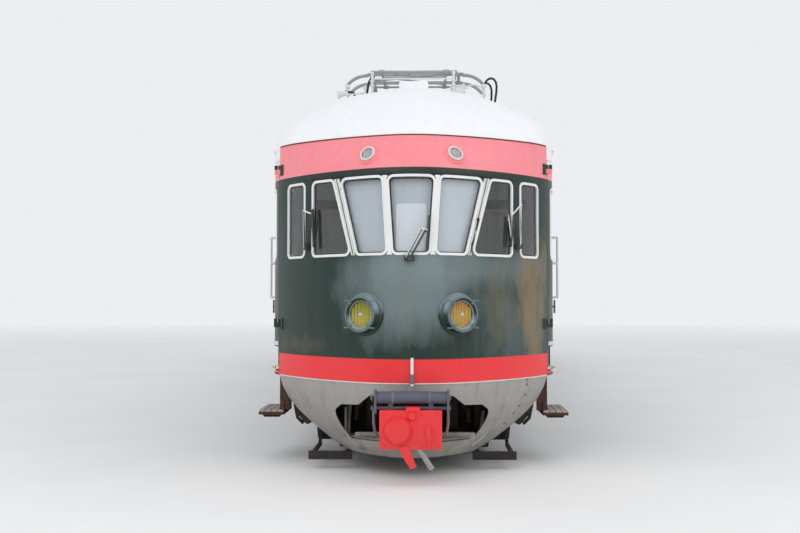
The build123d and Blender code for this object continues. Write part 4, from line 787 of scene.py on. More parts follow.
def make_window_trim():
    seal_panes("windscreen_glass", lambda centre: Vector((centre.x, centre.y - aft(ROUND_T), 0)).normalized(),
               "windscreen_seals")
    seal_panes("side_window_glass", lambda centre: Vector((1 if centre.x > 0 else -1, 0, 0)),
               "side_window_seals")
    pillars = [corners for outline in FRONT_PILLARS for corners in mirror(outline)]
    for name, material, outlines, off, thick, corner, steps in (
        ("window_pillars", "bright_metal", pillars, -0.004, 0.0145, 0, (0.02, 0.08)),
        ("rain_strip", "rubber_black", [[(-0.985, 0.985), (2.802, 2.824)]], -0.003, 0.014, 0, (0.03, 0.3)),
        ("corner_posts", "worn_white", mirror(CORNER_POST), -0.003, 0.009, 0, (0.03, 0.08)),
        ("cab_blinds", "blind_cloth", mirror(SIDE_BLIND) + [MIDDLE_BLIND], -0.058, 0.004, 0.05, (0.05, 0.15)),
        ("sun_card", "sun_card", [[(-0.15, 0.152), (2.085, 2.53)]], -0.05, 0.003, 0.03, (0.05, 0.15)),
    ):
        bm = bmesh.new()
        for corners in outlines:
            laid(bm, corners, lay_on_front(off), thick, corner, steps=steps)
        finish(bm, name, material)

    bm = bmesh.new()
    for sign in SIDES:
        points = [on_front(sign * (0.542 + 0.175 * i / 6), 2.052 + 0.122 * i, 0.006) for i in range(7)]
        tube(bm, points, 0.0045)
    finish(bm, "corner_joints", "rubber_black")


def make_body_beads():
    # The white skirt edge bead is a painted highlight where the skirt's top edge catches the light; the roof
    # joint is a dark joint
    for name, material, h, off, radius in (("roof_joint", "joint_brown", 3.2045, 0.002, 0.007),
                                           ("skirt_edge", "worn_white", 0.866, 0.001, 0.006)):
        bm = bmesh.new()
        tube(bm, [around(angle, h, off) for angle in SEAM_ANGLES], radius)
        finish(bm, name, material)
    bm = bmesh.new()
    for sign in SIDES:
        laid(bm, (GUTTER_T, (3.19, 3.215)), on_side(sign), 0.022, steps=(0.8, 0.1))
        laid(bm, (GUTTER_T, (3.21, 3.232)), on_side(sign, 0.014), 0.01, steps=(0.8, 0.1))
    finish(bm, "gutters", "worn_white")


# Lamp parts that are turned round the lamps' axes: lamp, piece, material, steps, (along, radius) profile
LAMP_RINGS = [
    (HEADLAMP, "headlamp_rims", "lamp_rim", 48,
     [(0.07, 0.1595), (0.074, 0.166), (0.086, 0.166), (0.091, 0.158), (0.089, 0.15), (0.085, 0.149),
      (0.085, 0.159)]),
    (HEADLAMP, "headlamp_rings", "silver", 48,
     [(0.06, 0.1205), (0.0665, 0.1225), (0.07, 0.144), (0.064, 0.146)]),
    # Black wells lining the recess behind each headlamp rim: painted shade in the recess
    (HEADLAMP, "headlamp_shade_wells", "rubber_black", 48,
     [(0.0605, 0.124), (0.0625, 0.124), (0.064, 0.145), (0.0835, 0.1478), (0.084, 0.1488), (0.0605, 0.1488)]),
    (MARKER, "marker_rings", "worn_white", 40,
     [(0.02, 0.061), (0.033, 0.061), (0.035, 0.0695), (0.033, 0.0775), (0.02, 0.079)]),
    (MARKER, "marker_flanges", "lamp_paint", 48,
     [(-0.006, 0.07), (-0.006, 0.101), (0.0045, 0.101), (0.0065, 0.098), (0.0065, 0.07)]),
]
BULB = [(0.05, 0.0), (0.05, 0.015), (0.07, 0.015), (0.0755, 0.009), (0.077, 0.0)]


def make_lamp_trim():
    for (x, h), name, material, steps, profile in LAMP_RINGS:
        bm = bmesh.new()
        for sign in SIDES:
            hoop(bm, profile, *lamp_axis(sign * x, h)[:2], steps)
        finish(bm, name, material)

    bulbs, clips = shapes(2)
    for sign in SIDES:
        centre, out, across = lamp_axis(sign * HEADLAMP[0], HEADLAMP[1])
        turned(bulbs, BULB, centre, out, 24)
        rising = out.cross(across)
        for side in SIDES:
            for level in SIDES:
                lug = (across * side + rising * level).normalized()
                foot, top = centre + out * 0.088 + lug * 0.146, centre + out * 0.092 + lug * 0.176
                rod(clips, foot, top, 0.009, 8)
                hook = across * side
                tube(clips, [top, top + hook * 0.03, top + hook * 0.046 - out * 0.012], 0.007)
                rod(clips, foot - lug * 0.012 + out * 0.002, foot + lug * 0.01 + out * 0.002, 0.013, 8)
    finish(bulbs, "headlamp_bulbs", "blind_cloth")
    finish(clips, "headlamp_clips", "lamp_rim")


# Second arm, link and blade of each wiper, and the bosses as x, h and half width
WIPERS = [
    ([(-0.04, 2.016), (0.09, 2.276)], [(0.088, 2.28), (0.148, 2.262)], [(0.1336, 2.098), (0.1606, 2.41)]),
    ([(-1.012, 2.135), (-1.026, 2.5)], [(-1.03, 2.505), (-0.95, 2.47)], [(-0.925, 2.13), (-0.944, 2.515)]),
    ([(1.012, 2.15), (1.033, 2.56)], [(1.035, 2.565), (0.962, 2.4)], [(0.938, 2.14), (0.969, 2.46)]),
]
WIPER_BOSSES = [(-0.014, 2.006, 0.046), (-1.022, 2.158, 0.034), (1.016, 2.15, 0.034)]


def make_wiper_parts():
    arms, links, blades, bosses = shapes(4)
    for arm, link, blade in WIPERS:
        tube(arms, [on_front(x, h, 0.05) for x, h in arm], 0.007)
        # The thin bright tube on each dark arm's upper edge is a painted highlight
        tube(links, [on_front(x - 0.0035, h + 0.002, 0.055) for x, h in arm], 0.003)
        tube(links, [on_front(x, h, 0.05) for x, h in link], 0.008)
        low, high = [on_front(x, h, 0.044) for x, h in blade]
        tube(links, [low, low.lerp(high, 0.5) + Vector((0, -0.008, 0)), high], 0.007)
        low, high = [on_front(x, h, 0.026) for x, h in blade]
        laid(blades, ((-0.5, 0.5), (-0.5, 0.5)),
             lambda u, v, w: low.lerp(high, v + 0.5) + Vector((u * 0.012, -w, 0)), 0.02, steps=(2, 0.2))
    for x, h, half in WIPER_BOSSES:
        laid(bosses, (span(x, half), span(h, 0.024)), lay_on_front(-0.002), 0.05, 0.01, steps=(0.1, 0.1))
    finish(arms, "wiper_arms", "dark_steel")
    finish(links, "wiper_links_and_highlights", "bright_metal")
    finish(blades, "wiper_blades", "rubber_black")
    finish(bosses, "wiper_bosses", "lamp_green", bevel=0.004)


def bolt_round(bm, angle, h, off, radius, height):
    """Bolt that looks out from the middle of the rounded cab."""
    place = around(angle, h, off)
    bolt(bm, place, place - at(0, ROUND_T, h), radius, height)


def make_hinge_plates():
    plates, pins = shapes(2)
    for sign in SIDES:
        for h in HINGE_HEIGHTS:
            laid(plates, (both(sign, 69.5, 72.6), (h - 0.062, h + 0.048)), lay_around(-0.003), 0.013,
                 steps=(2.0, 0.3))
            bolt_round(pins, sign * 70.4, h + 0.03, 0.01, 0.008, 0.006)
            bolt_round(pins, sign * 70.4, h - 0.045, 0.01, 0.008, 0.006)
    finish(plates, "hinge_plates", "lamp_green", bevel=0.003)
    finish(pins, "hinge_bolts", "dark_steel")


# Boxes and tubes about the skirt's opening: piece, material, bevel, boxes as (x, t, h) pairs
SKIRT_BOXES = [
    ("skirt_plank", "grey_timber", 0.004,
     [((-0.54, 0.6), (0.45, 0.475), (0.3, 0.372)), ((-0.54, 0.6), (0.475, 0.7), (0.336, 0.352)),
      *((span(x, 0.02), (0.444, 0.451), (0.306, 0.366)) for x in (-0.5, -0.05, 0.56))]),
    ("skirt_lower_plate", "worn_grey", 0.003,
     [((-0.485, 0.3), (0.4, 0.41), (0.212, 0.274)), ((-0.485, 0.3), (0.4, 0.455), (0.27, 0.28)),
      ((-0.44, -0.4), (0.41, 0.47), (0.27, 0.34)), ((0.22, 0.26), (0.41, 0.47), (0.27, 0.34))]),
]
SKIRT_TUBES = [
    ("skirt_lips", "pale_iron",
     [([(-0.64, 0.462, 0.384), (-0.573, 0.472, 0.292), (-0.514, 0.454, 0.243)], 0.011),
      ([(0.7, 0.575, 0.338), (0.628, 0.549, 0.279), (0.568, 0.515, 0.244)], 0.011)]),
    ("skirt_uprights", "worn_grey",
     [([(-0.633, 0.5, 0.33), (-0.633, 0.5, 0.6), (-0.633, 0.9, 0.64)], 0.012),
      ([(-0.612, 0.56, 0.33), (-0.6, 0.6, 0.64)], 0.018),
      ([(0.655, 0.56, 0.33), (0.69, 0.62, 0.56)], 0.018)]),
]


def make_skirt_parts():
    bm = bmesh.new()
    for x, h in SKIRT_BOLTS:
        bolt(bm, on_front(x, h), on_front(x, h) - on_front(x, h, -0.05), 0.01, 0.008)
    tube(bm, [on_front(x, h, 0.0002) for x, h in SKIRT_BOLTS], 0.0022)
    finish(bm, "skirt_bolts", "skirt_dark")

    bm = bmesh.new()
    for sign in SIDES:
        for angle in range(8, 69, 12):
            bolt_round(bm, sign * angle, 0.846, 0.0, 0.006, 0.004)
    finish(bm, "skirt_edge_bolts", "skirt_paint")

    bm = bmesh.new()
    tube(bm, [on_front(0.01, h, 0.03) for h in (0.868, 0.9, 0.93, 0.955)], 0.0165, 12)
    finish(bm, "nose_bar_sleeve", "worn_grey")

    for name, material, bevel, boxes in SKIRT_BOXES:
        bm = bmesh.new()
        for box in boxes:
            block(bm, *box)
        finish(bm, name, material, bevel=bevel)
    for name, material, tubes in SKIRT_TUBES:
        bm = bmesh.new()
        for points, radius in tubes:
            tube(bm, line(points), radius)
        finish(bm, name, material)


def make_cab_back():
    """Framed panels, a dark band and boxes on the wall behind the cab."""
    frames, bands, boxes = shapes(3)
    wall = upright(CAB_BACK_T, -1)
    for sign in SIDES:
        laid(frames, (both(sign, 0.58, 1.05), (1.75, 2.66)), wall, 0.014, 0.06, 0.022)
        laid(frames, (both(sign, 1.1, 1.22), (1.75, 2.66)), wall, 0.014, 0.03, 0.016)
        laid(bands, (both(sign, 0.38, 1.3), (2.69, 2.8)), wall, 0.008)
    block(boxes, (1.16, 1.36), (2.6, CAB_BACK_T), (2.42, 2.53))
    block(boxes, (-0.56, -0.42), (2.62, CAB_BACK_T), (2.1, 2.42))
    finish(frames, "cab_back_frames", "inner_cream")
    finish(bands, "cab_back_bands", "lamp_green")
    finish(boxes, "cab_back_boxes", "pale_wood", bevel=0.005)


def make_nose_inside():
    """Air pipes, hoses and steelwork that show behind the skirt's opening, and dark plates behind them that
    are painted shade.
    """
    bm = bmesh.new()
    for sign in SIDES:
        # Dark plates behind the opening: painted shade where the nose's inside lies in shadow
        block(bm, both(sign, 0.2, 0.78), (0.98, 1.0), (0.3, 0.86))
    for x in (-0.66, -0.4, 0.4, 0.66):
        block(bm, span(x, 0.03), (0.8, 0.98), (0.36, 0.84))
        block(bm, span(x, 0.05), (0.78, 0.8), (0.36, 0.84))
    for x, h in ((-0.53, 0.62), (0.53, 0.6), (-0.3, 0.74), (0.3, 0.74)):
        rod(bm, at(x, 0.74, h), at(x, 0.98, h), 0.045, 16)
        tube(bm, line([(x, 0.76, h), (x * 1.02, 0.7, h - 0.03), (x * 1.04, 0.68, h - 0.16)]), 0.022)
    finish(bm, "nose_steelwork_and_shade_plates", "black_gear", bevel=0.003)


def make_cab_door_trim():
    for side, sign in (("right", 1), ("left", -1)):
        body = f"cab_door_{side}"
        frame_t = (DOOR_WINDOW_T[0] - 0.024, DOOR_WINDOW_T[1] + 0.024)
        frame_h = (GLASS_H[0] - 0.024, GLASS_H[1] + 0.024)
        for name, material, spans, off, thick, corner, border, bevel in (
            ("window_frame", "bright_metal", (frame_t, frame_h), -0.012, 0.018, 0.07, 0.026, 0),
            ("glass", "window_glass", (DOOR_WINDOW_T, GLASS_H), -0.026, 0.006, 0.048, 0, 0),
            ("lock_plate", "bright_metal", ((1.712, 1.76), (1.47, 1.65)), -0.001, 0.006, 0.012, 0, 0),
            ("rails", "worn_white", ((1.215, 1.785), (1.165, 1.205)), -0.001, 0.012, 0, 0, 0.002),
        ):
            bm = bmesh.new()
            laid(bm, spans, on_side(sign, off), thick, corner, border)
            if name == "lock_plate":
                foot, top = (at(sign * (side_x(KNOB_T) + off), KNOB_T, KNOB_H) for off in (-0.001, 0.012))
                rod(bm, foot, top, 0.018)
            finish(bm, f"{body}_{name}", material, body, bevel=bevel)
    bm = bmesh.new()
    for sign in SIDES:
        laid(bm, ((1.205, 1.795), (0.906, 0.923)), on_side(sign, 0.026), 0.006)
        block(bm, both(sign, 1.35, 1.405), (1.196, 1.24), (0.924, 0.95))
    finish(bm, "door_sills", "worn_white")


def make_step_parts():
    boards, irons, brackets = shapes(3)
    for sign in SIDES:
        for i in range(4):
            block(boards, both(sign, 1.335 + i * 0.064, 1.393 + i * 0.064), (1.236, 1.864), (0.4795, 0.5))
        for t in (1.3, 1.8):
            tube(irons, line([(1.345, t, 0.62), (1.35, t - 0.004, 0.47), (1.385, t - 0.004, 0.435),
                              (1.54, t - 0.004, 0.435), (1.56, t - 0.004, 0.47)], sign), 0.014)
        block(brackets, both(sign, 1.265, 1.33), (1.262, 1.272), (0.5, 0.86))
        block(brackets, both(sign, 1.3, 1.345), (1.265, 1.3), (0.5, 0.87))
        for h in (0.56, 0.66, 0.78):
            bolt(brackets, at(sign * 1.298, 1.262, h), (0, -1, 0), 0.011, 0.009)
    finish(boards, "step_boards", "grey_timber", bevel=0.003)
    finish(irons, "step_irons", "black_gear")
    finish(brackets, "step_brackets", "red_rust", bevel=0.002)


# Roof: posts as x, t, top height and cap radius, the rest as lines of (x, t, h) points
ROOF_POSTS = [(-0.46, 1.95, 4.136, 0.022), (0.44, 1.95, 4.14, 0.022), (-0.77, 2.45, 4.09, 0.03),
              (-0.56, 2.35, 4.06, 0.026), (0.56, 2.35, 4.075, 0.026), (0.8, 2.45, 4.09, 0.03)]
ROOF_RODS = [[(-0.46, 1.95, 4.075), (0.44, 1.95, 4.075)],
             [(0.47, 2.02, 3.97), (0.68, 2.2, 4.06), (0.8, 2.45, 4.07)],
             [(0.4, 1.95, 3.96), (0.6, 2.05, 3.99)], [(-0.77, 2.45, 4.0), (-0.56, 2.35, 4.0)]]
ROOF_CONDUITS = [
    [(0.8, 2.45, 4.07), (0.81, 2.455, 4.12), (0.83, 2.46, 4.155), (0.86, 2.47, 4.18), (0.89, 2.475, 4.187),
     (0.92, 2.485, 4.175), (0.94, 2.49, 4.145), (0.95, 2.5, 4.1), (0.947, 2.5, 4.04), (0.935, 2.5, 3.95),
     (0.92, 2.5, 3.86)],
    [(0.795, 2.5, 4.06), (0.797, 2.51, 4.1), (0.81, 2.52, 4.13), (0.835, 2.53, 4.145), (0.86, 2.54, 4.135),
     (0.882, 2.545, 4.11), (0.895, 2.55, 4.06), (0.893, 2.555, 3.97), (0.88, 2.56, 3.88)],
    [(-0.8, 2.45, 4.04), (-0.7, 2.43, 4.02), (-0.66, 2.42, 3.9)],
    [(-0.46, 1.95, 4.1), (-0.5, 2.0, 4.05), (-0.53, 2.06, 3.9)],
]
ROOF_SEAM_TS = [3.95, 5.35, 6.95, 8.25, 9.7, 10.6, 12.0, 13.5, 14.9, 16.3, 17.8, 19.3, 20.9]
VENT_TS = [6.6, 7.6, 11.25, 12.8, 17.0, 18.6, 20.2]


def make_roof_front():
    bm = bmesh.new()
    for x, t, top, cap in ROOF_POSTS:
        foot = on_roof(x, t)
        height = up(top) - foot.z
        post(bm, foot, 0, 0.02, 0.045, 16)
        post(bm, foot, 0, height, 0.014, 12)
        bmesh.ops.create_uvsphere(bm, u_segments=12, v_segments=6, radius=cap,
                                  matrix=Matrix.Translation(foot + rise(height)))
        for share in (0.45, 0.65):
            post(bm, foot, height * share - 0.006, height * share + 0.006, 0.026, 16)
    for points in ROOF_RODS:
        tube(bm, line(points), 0.009)
    hoop(bm, [(0.0, 0.012), (0.0, 0.03), (0.05, 0.026), (0.09, 0.034), (0.12, 0.052), (0.125, 0.052),
              (0.1, 0.02)], at(-0.765, 2.45, 4.02), (-1, 0, -0.18), 24)
    finish(bm, "roof_posts", "worn_white")

    bm = bmesh.new()
    for points in ROOF_CONDUITS:
        tube(bm, line(points), 0.013)
    finish(bm, "roof_conduits", "rubber_black")

    bm = bmesh.new()
    block(bm, (0.409, 0.552), (1.955, 2.055), (3.8, 4.0))
    block(bm, (0.4, 0.561), (1.946, 2.064), (3.985, 4.005))
    block(bm, (0.86, 0.95), (2.44, 2.56), (3.7, 3.9))
    finish(bm, "roof_junction_boxes", "worn_white", bevel=0.008)


def make_roof_seams():
    bm = bmesh.new()
    for t in ROOF_SEAM_TS:
        tube(bm, [on_roof(x * 0.1425, t, 0.0015) for x in range(-10, 11)], 0.008, 6)
    for sign in SIDES:
        tube(bm, [on_roof(sign * 1.05, 2.7 + 0.89 * i, 0.0015) for i in range(23)], 0.007, 6)
    finish(bm, "roof_seams", "roof_paint")

    bm = bmesh.new()
    for t in VENT_TS:
        centre = at(0, t, CROWN_H)
        hoop(bm, [(0.108, 0.178), (0.108, 0.186), (0.122, 0.186), (0.128, 0.15), (0.114, 0.1), (0.11, 0.1)],
             centre, (0, 0, 1))
        hoop(bm, [(0.0, 0.112), (0.0, 0.15), (0.01, 0.15), (0.016, 0.112)], centre, (0, 0, 1))
        for i in range(8):
            post(bm, centre + Vector((cos(pi * i / 4), sin(pi * i / 4), 0)) * 0.155, 0.005, 0.052, 0.006, 6)
    for x in (-0.24, 0.24):
        for t0 in (8.4, 14.4):
            for i in range(9):
                t = t0 + 0.1 * i
                block(bm, span(x, 0.02), (t, t + 0.06), (CROWN_H + 0.158, CROWN_H + 0.172))
    finish(bm, "roof_vent_rims", "worn_white")


# Sides
WINDOW_TS = [3.45 + 1.4 * i for i in range(5)] + [13.5 + 1.4 * i for i in range(6)]
PANEL_TS = [2.75, 4.15, 5.55, 6.95, 8.35, 9.75, 12.8, 14.2, 15.6, 17.0, 18.4, 19.8, 21.2]
# Long strips, fore and aft of the entrance: t, h, thickness
LONG_STRIPS = [(t, h, thick) for t in ((1.84, 10.55), (11.95, 22.44))
               for h, thick in (((1.975, 1.995), 0.01), ((2.835, 2.85), 0.008))]
LONG_STRIPS += [((1.62, 10.55), (0.864, 0.884), 0.007), ((11.95, 22.44), (0.864, 0.884), 0.007)]


def make_side_trim():
    strips, bars, bolts = shapes(3)
    for sign in SIDES:
        for t in PANEL_TS:
            laid(strips, (span(t, 0.018), (0.9, 1.98)), on_side(sign, -0.001), 0.005, steps=(1, 2))
            for i in range(9):
                bolt(bolts, at(sign * (HALF_WIDTH + 0.003), t, 0.96 + 0.12 * i), (sign, 0, 0), 0.005, 0.003)
        for t, h, thick in LONG_STRIPS:
            laid(strips, (t, h), on_side(sign, -0.001), thick, steps=(1.2, 1))
        for t in WINDOW_TS:
            laid(bars, (span(t, 0.5), (2.545, 2.57)), on_side(sign, -0.026), 0.028, steps=(2, 2))
            for edge in (t - 0.12, t + 0.12):
                block(bars, both(sign, HALF_WIDTH - 0.01, HALF_WIDTH + 0.006), span(edge, 0.03),
                      (2.572, 2.584))
    finish(strips, "side_strips", "side_paint", bevel=0.0015)
    finish(bolts, "side_rivets", "side_paint")
    finish(bars, "window_light_bars", "bright_metal", bevel=0.002)


LEAF_X = 1.435
LEAF_SPANS = {"front": (10.59, 11.247), "rear": (11.253, 11.91)}


def make_door_leaf_trim():
    for side, sign in (("right", 1), ("left", -1)):
        inside = lambda offset: lambda u, v, w: at(sign * (LEAF_X + offset + w), u, v)
        for end, (t0, t1) in LEAF_SPANS.items():
            body = f"entrance_leaf_{side}_{end}"
            middle = (t0 + t1) / 2
            bm = bmesh.new()
            laid(bm, (span(middle, 0.165), (2.025, 2.775)), inside(0.0155), 0.006, 0.07, 0.022, (1, 1))
            laid(bm, ((t0 + 0.03, t1 - 0.03), (1.155, 1.3)), inside(0.0155), 0.0035, 0.01, steps=(1, 1))
            finish(bm, f"{body}_trim", "bright_metal", body)
            bm = bmesh.new()
            laid(bm, (span(middle, 0.15), (2.04, 2.76)), inside(-0.003), 0.006, 0.058, steps=(1, 1))
            finish(bm, f"{body}_glass", "window_glass", body)
            bm = bmesh.new()
            edge, back = (t1 - 0.004, -0.006) if end == "front" else (t0 + 0.004, 0.006)
            rod(bm, at(sign * LEAF_X, edge, 1.16), at(sign * LEAF_X, edge, 3.07), 0.006, 10)
            block(bm, span(sign * LEAF_X, 0.012), (edge, edge + back), (1.16, 3.07))
            finish(bm, f"{body}_edge", "rubber_black", body)


# Rear end
END_DOOR_T = 22.398
END_DOOR_FACE_T = 22.423


def rounded_loop(bm, x, h, t):
    """Edges of a rounded upright loop."""
    part = bmesh.new()
    part.faces.new([part.verts.new(at(u, t, v)) for u, v in oblong((-x, x), h)])
    bmesh.ops.bevel(part, geom=part.verts[:], offset=0.1, segments=6, profile=0.5, affect="VERTICES",
                    material=-1)
    bmesh.ops.delete(part, geom=part.faces[:], context="FACES_ONLY")
    known = set(bm.edges)
    join(bm, part)
    bm.edges.ensure_lookup_table()
    return [edge for edge in bm.edges if edge not in known]


def make_bellows():
    """Pleated gangway bellows between two steel frames."""
    bm = bmesh.new()
    outer, inner = (
        [(half + fold * (i % 2), (low - fold * (i % 2), high + fold * (i % 2)), END_T + 0.008 + 0.016 * i)
         for i in range(11)]
        for half, low, high, fold in ((0.563, 0.972, 3.208, -0.045), (0.437, 1.102, 3.078, 0.03))
    )
    rings = [rounded_loop(bm, *loop) for loop in outer + inner[::-1]]
    for first, second in zip(rings, rings[1:] + rings[:1]):
        bmesh.ops.bridge_loops(bm, edges=first + second)
    finish(bm, "gangway_bellows", "bellows_cloth", replaces=("gangway",), crisp=50)

    bm = bmesh.new()
    for t, thick in ((END_T, 0.01), (END_T + 0.172, 0.022)):
        laid(bm, ((-0.565, 0.565), (0.97, 3.21)), upright(t), thick, 0.11, 0.045, (3, 3))
    for sign in SIDES:
        for h in (1.35, 2.05, 2.75):
            block(bm, both(sign, 0.545, 0.562), (END_T + 0.165, END_T + 0.196), span(h, 0.05))
    finish(bm, "gangway_frames", "dark_steel", bevel=0.0015)


def make_end_trim():
    bm, lamps, glass = shapes(3)
    for sign in SIDES:
        for x in (0.66, 1.12):
            laid(bm, (span(sign * x, 0.02), (0.9, 3.3)), upright(END_T), 0.006, steps=(3, 3))
        tube(bm, line([(1.3, END_T, 1.3), (1.3, END_T + 0.07, 1.3), (1.3, END_T + 0.07, 2.2),
                       (1.3, END_T, 2.2)], sign), 0.013)
        for h in (1.1 + 0.35 * i for i in range(6)):
            rung = [(0.82, END_T, h), (0.82, END_T + 0.06, h), (1.02, END_T + 0.06, h), (1.02, END_T, h)]
            tube(bm, line(rung, sign), 0.01)
        centre = at(sign * 1.12, END_T, 3.05)
        hoop(lamps, [(0.0, 0.062), (0.0, 0.078), (0.03, 0.07), (0.034, 0.062), (0.026, 0.056)], centre,
             (0, 1, 0))
        turned(glass, [(0.0, 0.06), (0.02, 0.058), (0.032, 0.034), (0.036, 0.0)], centre, (0, 1, 0))
        turned(glass, [(0.001, 0.06), (0.0, 0.0)], centre, (0, 1, 0))
        block(lamps, both(sign, 1.19, 1.24), (END_T, END_T + 0.05), (0.95, 1.15))
        for x in (0.35, 0.47, 0.59):
            tube(lamps, line([(x, END_T - 0.3, 0.93), (x, END_T + 0.02, 0.9), (x, END_T + 0.1, 0.78),
                              (x, END_T + 0.1, 0.62)], sign), 0.02)
    finish(bm, "end_ladder_and_rails", "worn_grey")
    finish(lamps, "end_lamps_and_pipes", "dark_steel")
    finish(glass, "end_lamp_glass", "red_glass")

    bm = bmesh.new()
    laid(bm, ((-0.215, 0.215), (2.045, 2.755)), upright(END_DOOR_T), 0.006, 0.055, steps=(1, 1))
    finish(bm, "end_door_glass", "window_glass", "end_door")
    bm = bmesh.new()
    laid(bm, ((-0.245, 0.245), (2.015, 2.785)), upright(END_DOOR_FACE_T), 0.004, 0.07, 0.03, (1, 1))
    block(bm, (-0.335, -0.3), (END_DOOR_FACE_T, END_DOOR_FACE_T + 0.0045), (1.5, 1.72))
    finish(bm, "end_door_trim", "bright_metal", "end_door")


# Inside
BENCH_TS = [4.15, 5.55, 6.95, 8.35, 14.2, 15.6, 17.0, 18.4, 19.8]
DRIVER_X, DRIVER_T = 0.45, 1.15
DIAL_XS = (0.27, 0.46, 0.65)
PEDESTAL = [(0.0, 0.0), (0.0, 0.19), (0.012, 0.185), (0.022, 0.06), (0.2, 0.045), (0.21, 0.036), (0.4, 0.036),
            (0.405, 0.15), (0.412, 0.15), (0.412, 0.0)]
SEAT_SPINE = [(0.1, 0.405), (0.225, 0.42), (0.268, 0.6), (0.282, 0.8)]


def cushion(bm, centre, half, tilt, crown):
    """Stuffed pad: fullest in its middle, drawn in along its sides, flat where it rests."""
    part = bmesh.new()
    bmesh.ops.create_cube(part, size=2.0)
    bmesh.ops.subdivide_edges(part, edges=part.edges[:], cuts=3, use_grid_fill=True)
    turn = Matrix.Rotation(tilt, 4, "X")
    for vert in part.verts:
        a, b, c = vert.co
        pull = 1 - 0.05 * (1 - abs(c))
        x = a * (1 - 0.035 * (1 - b * b)) * pull * half[0]
        y = b * (1 - 0.06 * (1 - a * a)) * pull * half[1]
        z = c * half[2] + (crown * (1 - a * a) * (1 - b * b) if c > 0 else 0.0)
        vert.co = centre + turn @ Vector((x, y, z))
    bmesh.ops.bevel(part, geom=[e for e in part.edges if e.calc_face_angle(0) > radians(60)],
                    offset=half[2] * 0.35, segments=3, profile=0.5, affect="EDGES", material=-1)
    join(bm, part)


def make_benches():
    for side, sign in (("right", 1), ("left", -1)):
        seats, backs, frames = shapes(3)
        x, back_x = sign * 0.872, both(sign, 0.36, 1.39)
        for t in BENCH_TS:
            for way in SIDES:
                cushion(seats, over_floor(x, t + way * 0.305, 0.388), (0.515, 0.215, 0.045),
                        way * -0.05, 0.022)
                cushion(backs, over_floor(x, t + way * 0.046, 0.735), (0.51, 0.29, 0.024),
                        way * -(pi / 2 - 0.075), 0.012)
            for end in (0.375, 1.37):
                for spans in (
                    (span(t, 0.45), (FLOOR_H + 0.3, FLOOR_H + 0.338)),
                    (span(t - 0.18, 0.02), (FLOOR_H, FLOOR_H + 0.31)),
                    (span(t + 0.18, 0.02), (FLOOR_H, FLOOR_H + 0.31)),
                    (span(t, 0.018), (FLOOR_H + 0.33, FLOOR_H + 1.055)),
                ):
                    block(frames, span(sign * end, 0.02), *spans)
            block(frames, back_x, span(t, 0.014), (FLOOR_H + 0.33, FLOOR_H + 1.03))
            block(frames, back_x, span(t, 0.47), (FLOOR_H + 0.33, FLOOR_H + 0.346))
            rod(frames, over_floor(sign * 0.355, t, 1.045), over_floor(sign * 1.39, t, 1.045), 0.014, 10)
        seats = finish(seats, f"seat_cushions_{side}", "seat_leather", replaces=(f"seats_{side}",), crisp=60)
        finish(backs, f"seat_backs_{side}", "seat_leather", crisp=60)
        finish(frames, f"seat_frames_{side}", "varnished_wood", bevel=0.004)


def make_cab_furniture():
    x, t = DRIVER_X, DRIVER_T
    pads = bmesh.new()
    cushion(pads, over_floor(x, t, 0.452), (0.225, 0.22, 0.044), 0.0, 0.022)
    pads = finish(pads, "driver_seat_cushion", "seat_leather", replaces=("driver_seat",), crisp=60)
    pads = bmesh.new()
    cushion(pads, over_floor(x, t + 0.235, 0.755), (0.212, 0.215, 0.024), pi / 2 + 0.13, 0.014)
    finish(pads, "driver_seat_back", "seat_leather", crisp=60)
    bm = bmesh.new()
    turned(bm, PEDESTAL, at(x, t, FLOOR_H), (0, 0, 1), 28)
    tube(bm, [over_floor(x, t + back, h) for back, h in SEAT_SPINE], 0.012)
    finish(bm, "driver_seat_pedestal", "dark_steel")

    bm, dials = shapes(2)
    block(bm, (0.16, 0.76), (0.42, 0.5), (FLOOR_H + 0.745, FLOOR_H + 0.9))
    for x in DIAL_XS:
        hoop(bm, [(0.0, 0.05), (0.0, 0.062), (0.014, 0.062), (0.018, 0.052)], over_floor(x, 0.5, 0.83),
             (0, 1, 0), 24)
        turned(dials, [(0.0, 0.0), (0.0, 0.05), (0.003, 0.05), (0.004, 0.0)], over_floor(x, 0.501, 0.83),
               (0, 1, 0), 24)
    turned(bm, [(0.0, 0.0), (0.0, 0.085), (0.05, 0.08), (0.055, 0.0)], over_floor(0.62, 0.53, 0.725),
           (0, 0, 1), 24)
    handle = [(0.62, 0.53, 0.77), (0.68, 0.55, 0.8), (0.72, 0.56, 0.8)]
    tube(bm, [over_floor(*point) for point in handle], 0.01)
    finish(bm, "desk_instruments", "lamp_green", bevel=0.004)
    finish(dials, "desk_dials", "worn_white")


# Running gear
BOGIE_TS = {"front_bogie": 3.5, "rear_bogie": 19.1}
HALF_BASE = 1.35
FRAME_X = 1.04
AXLEBOX_COVER = [(0.0, 0.0), (0.0, 0.104), (0.016, 0.104), (0.022, 0.086), (0.034, 0.08), (0.038, 0.0)]


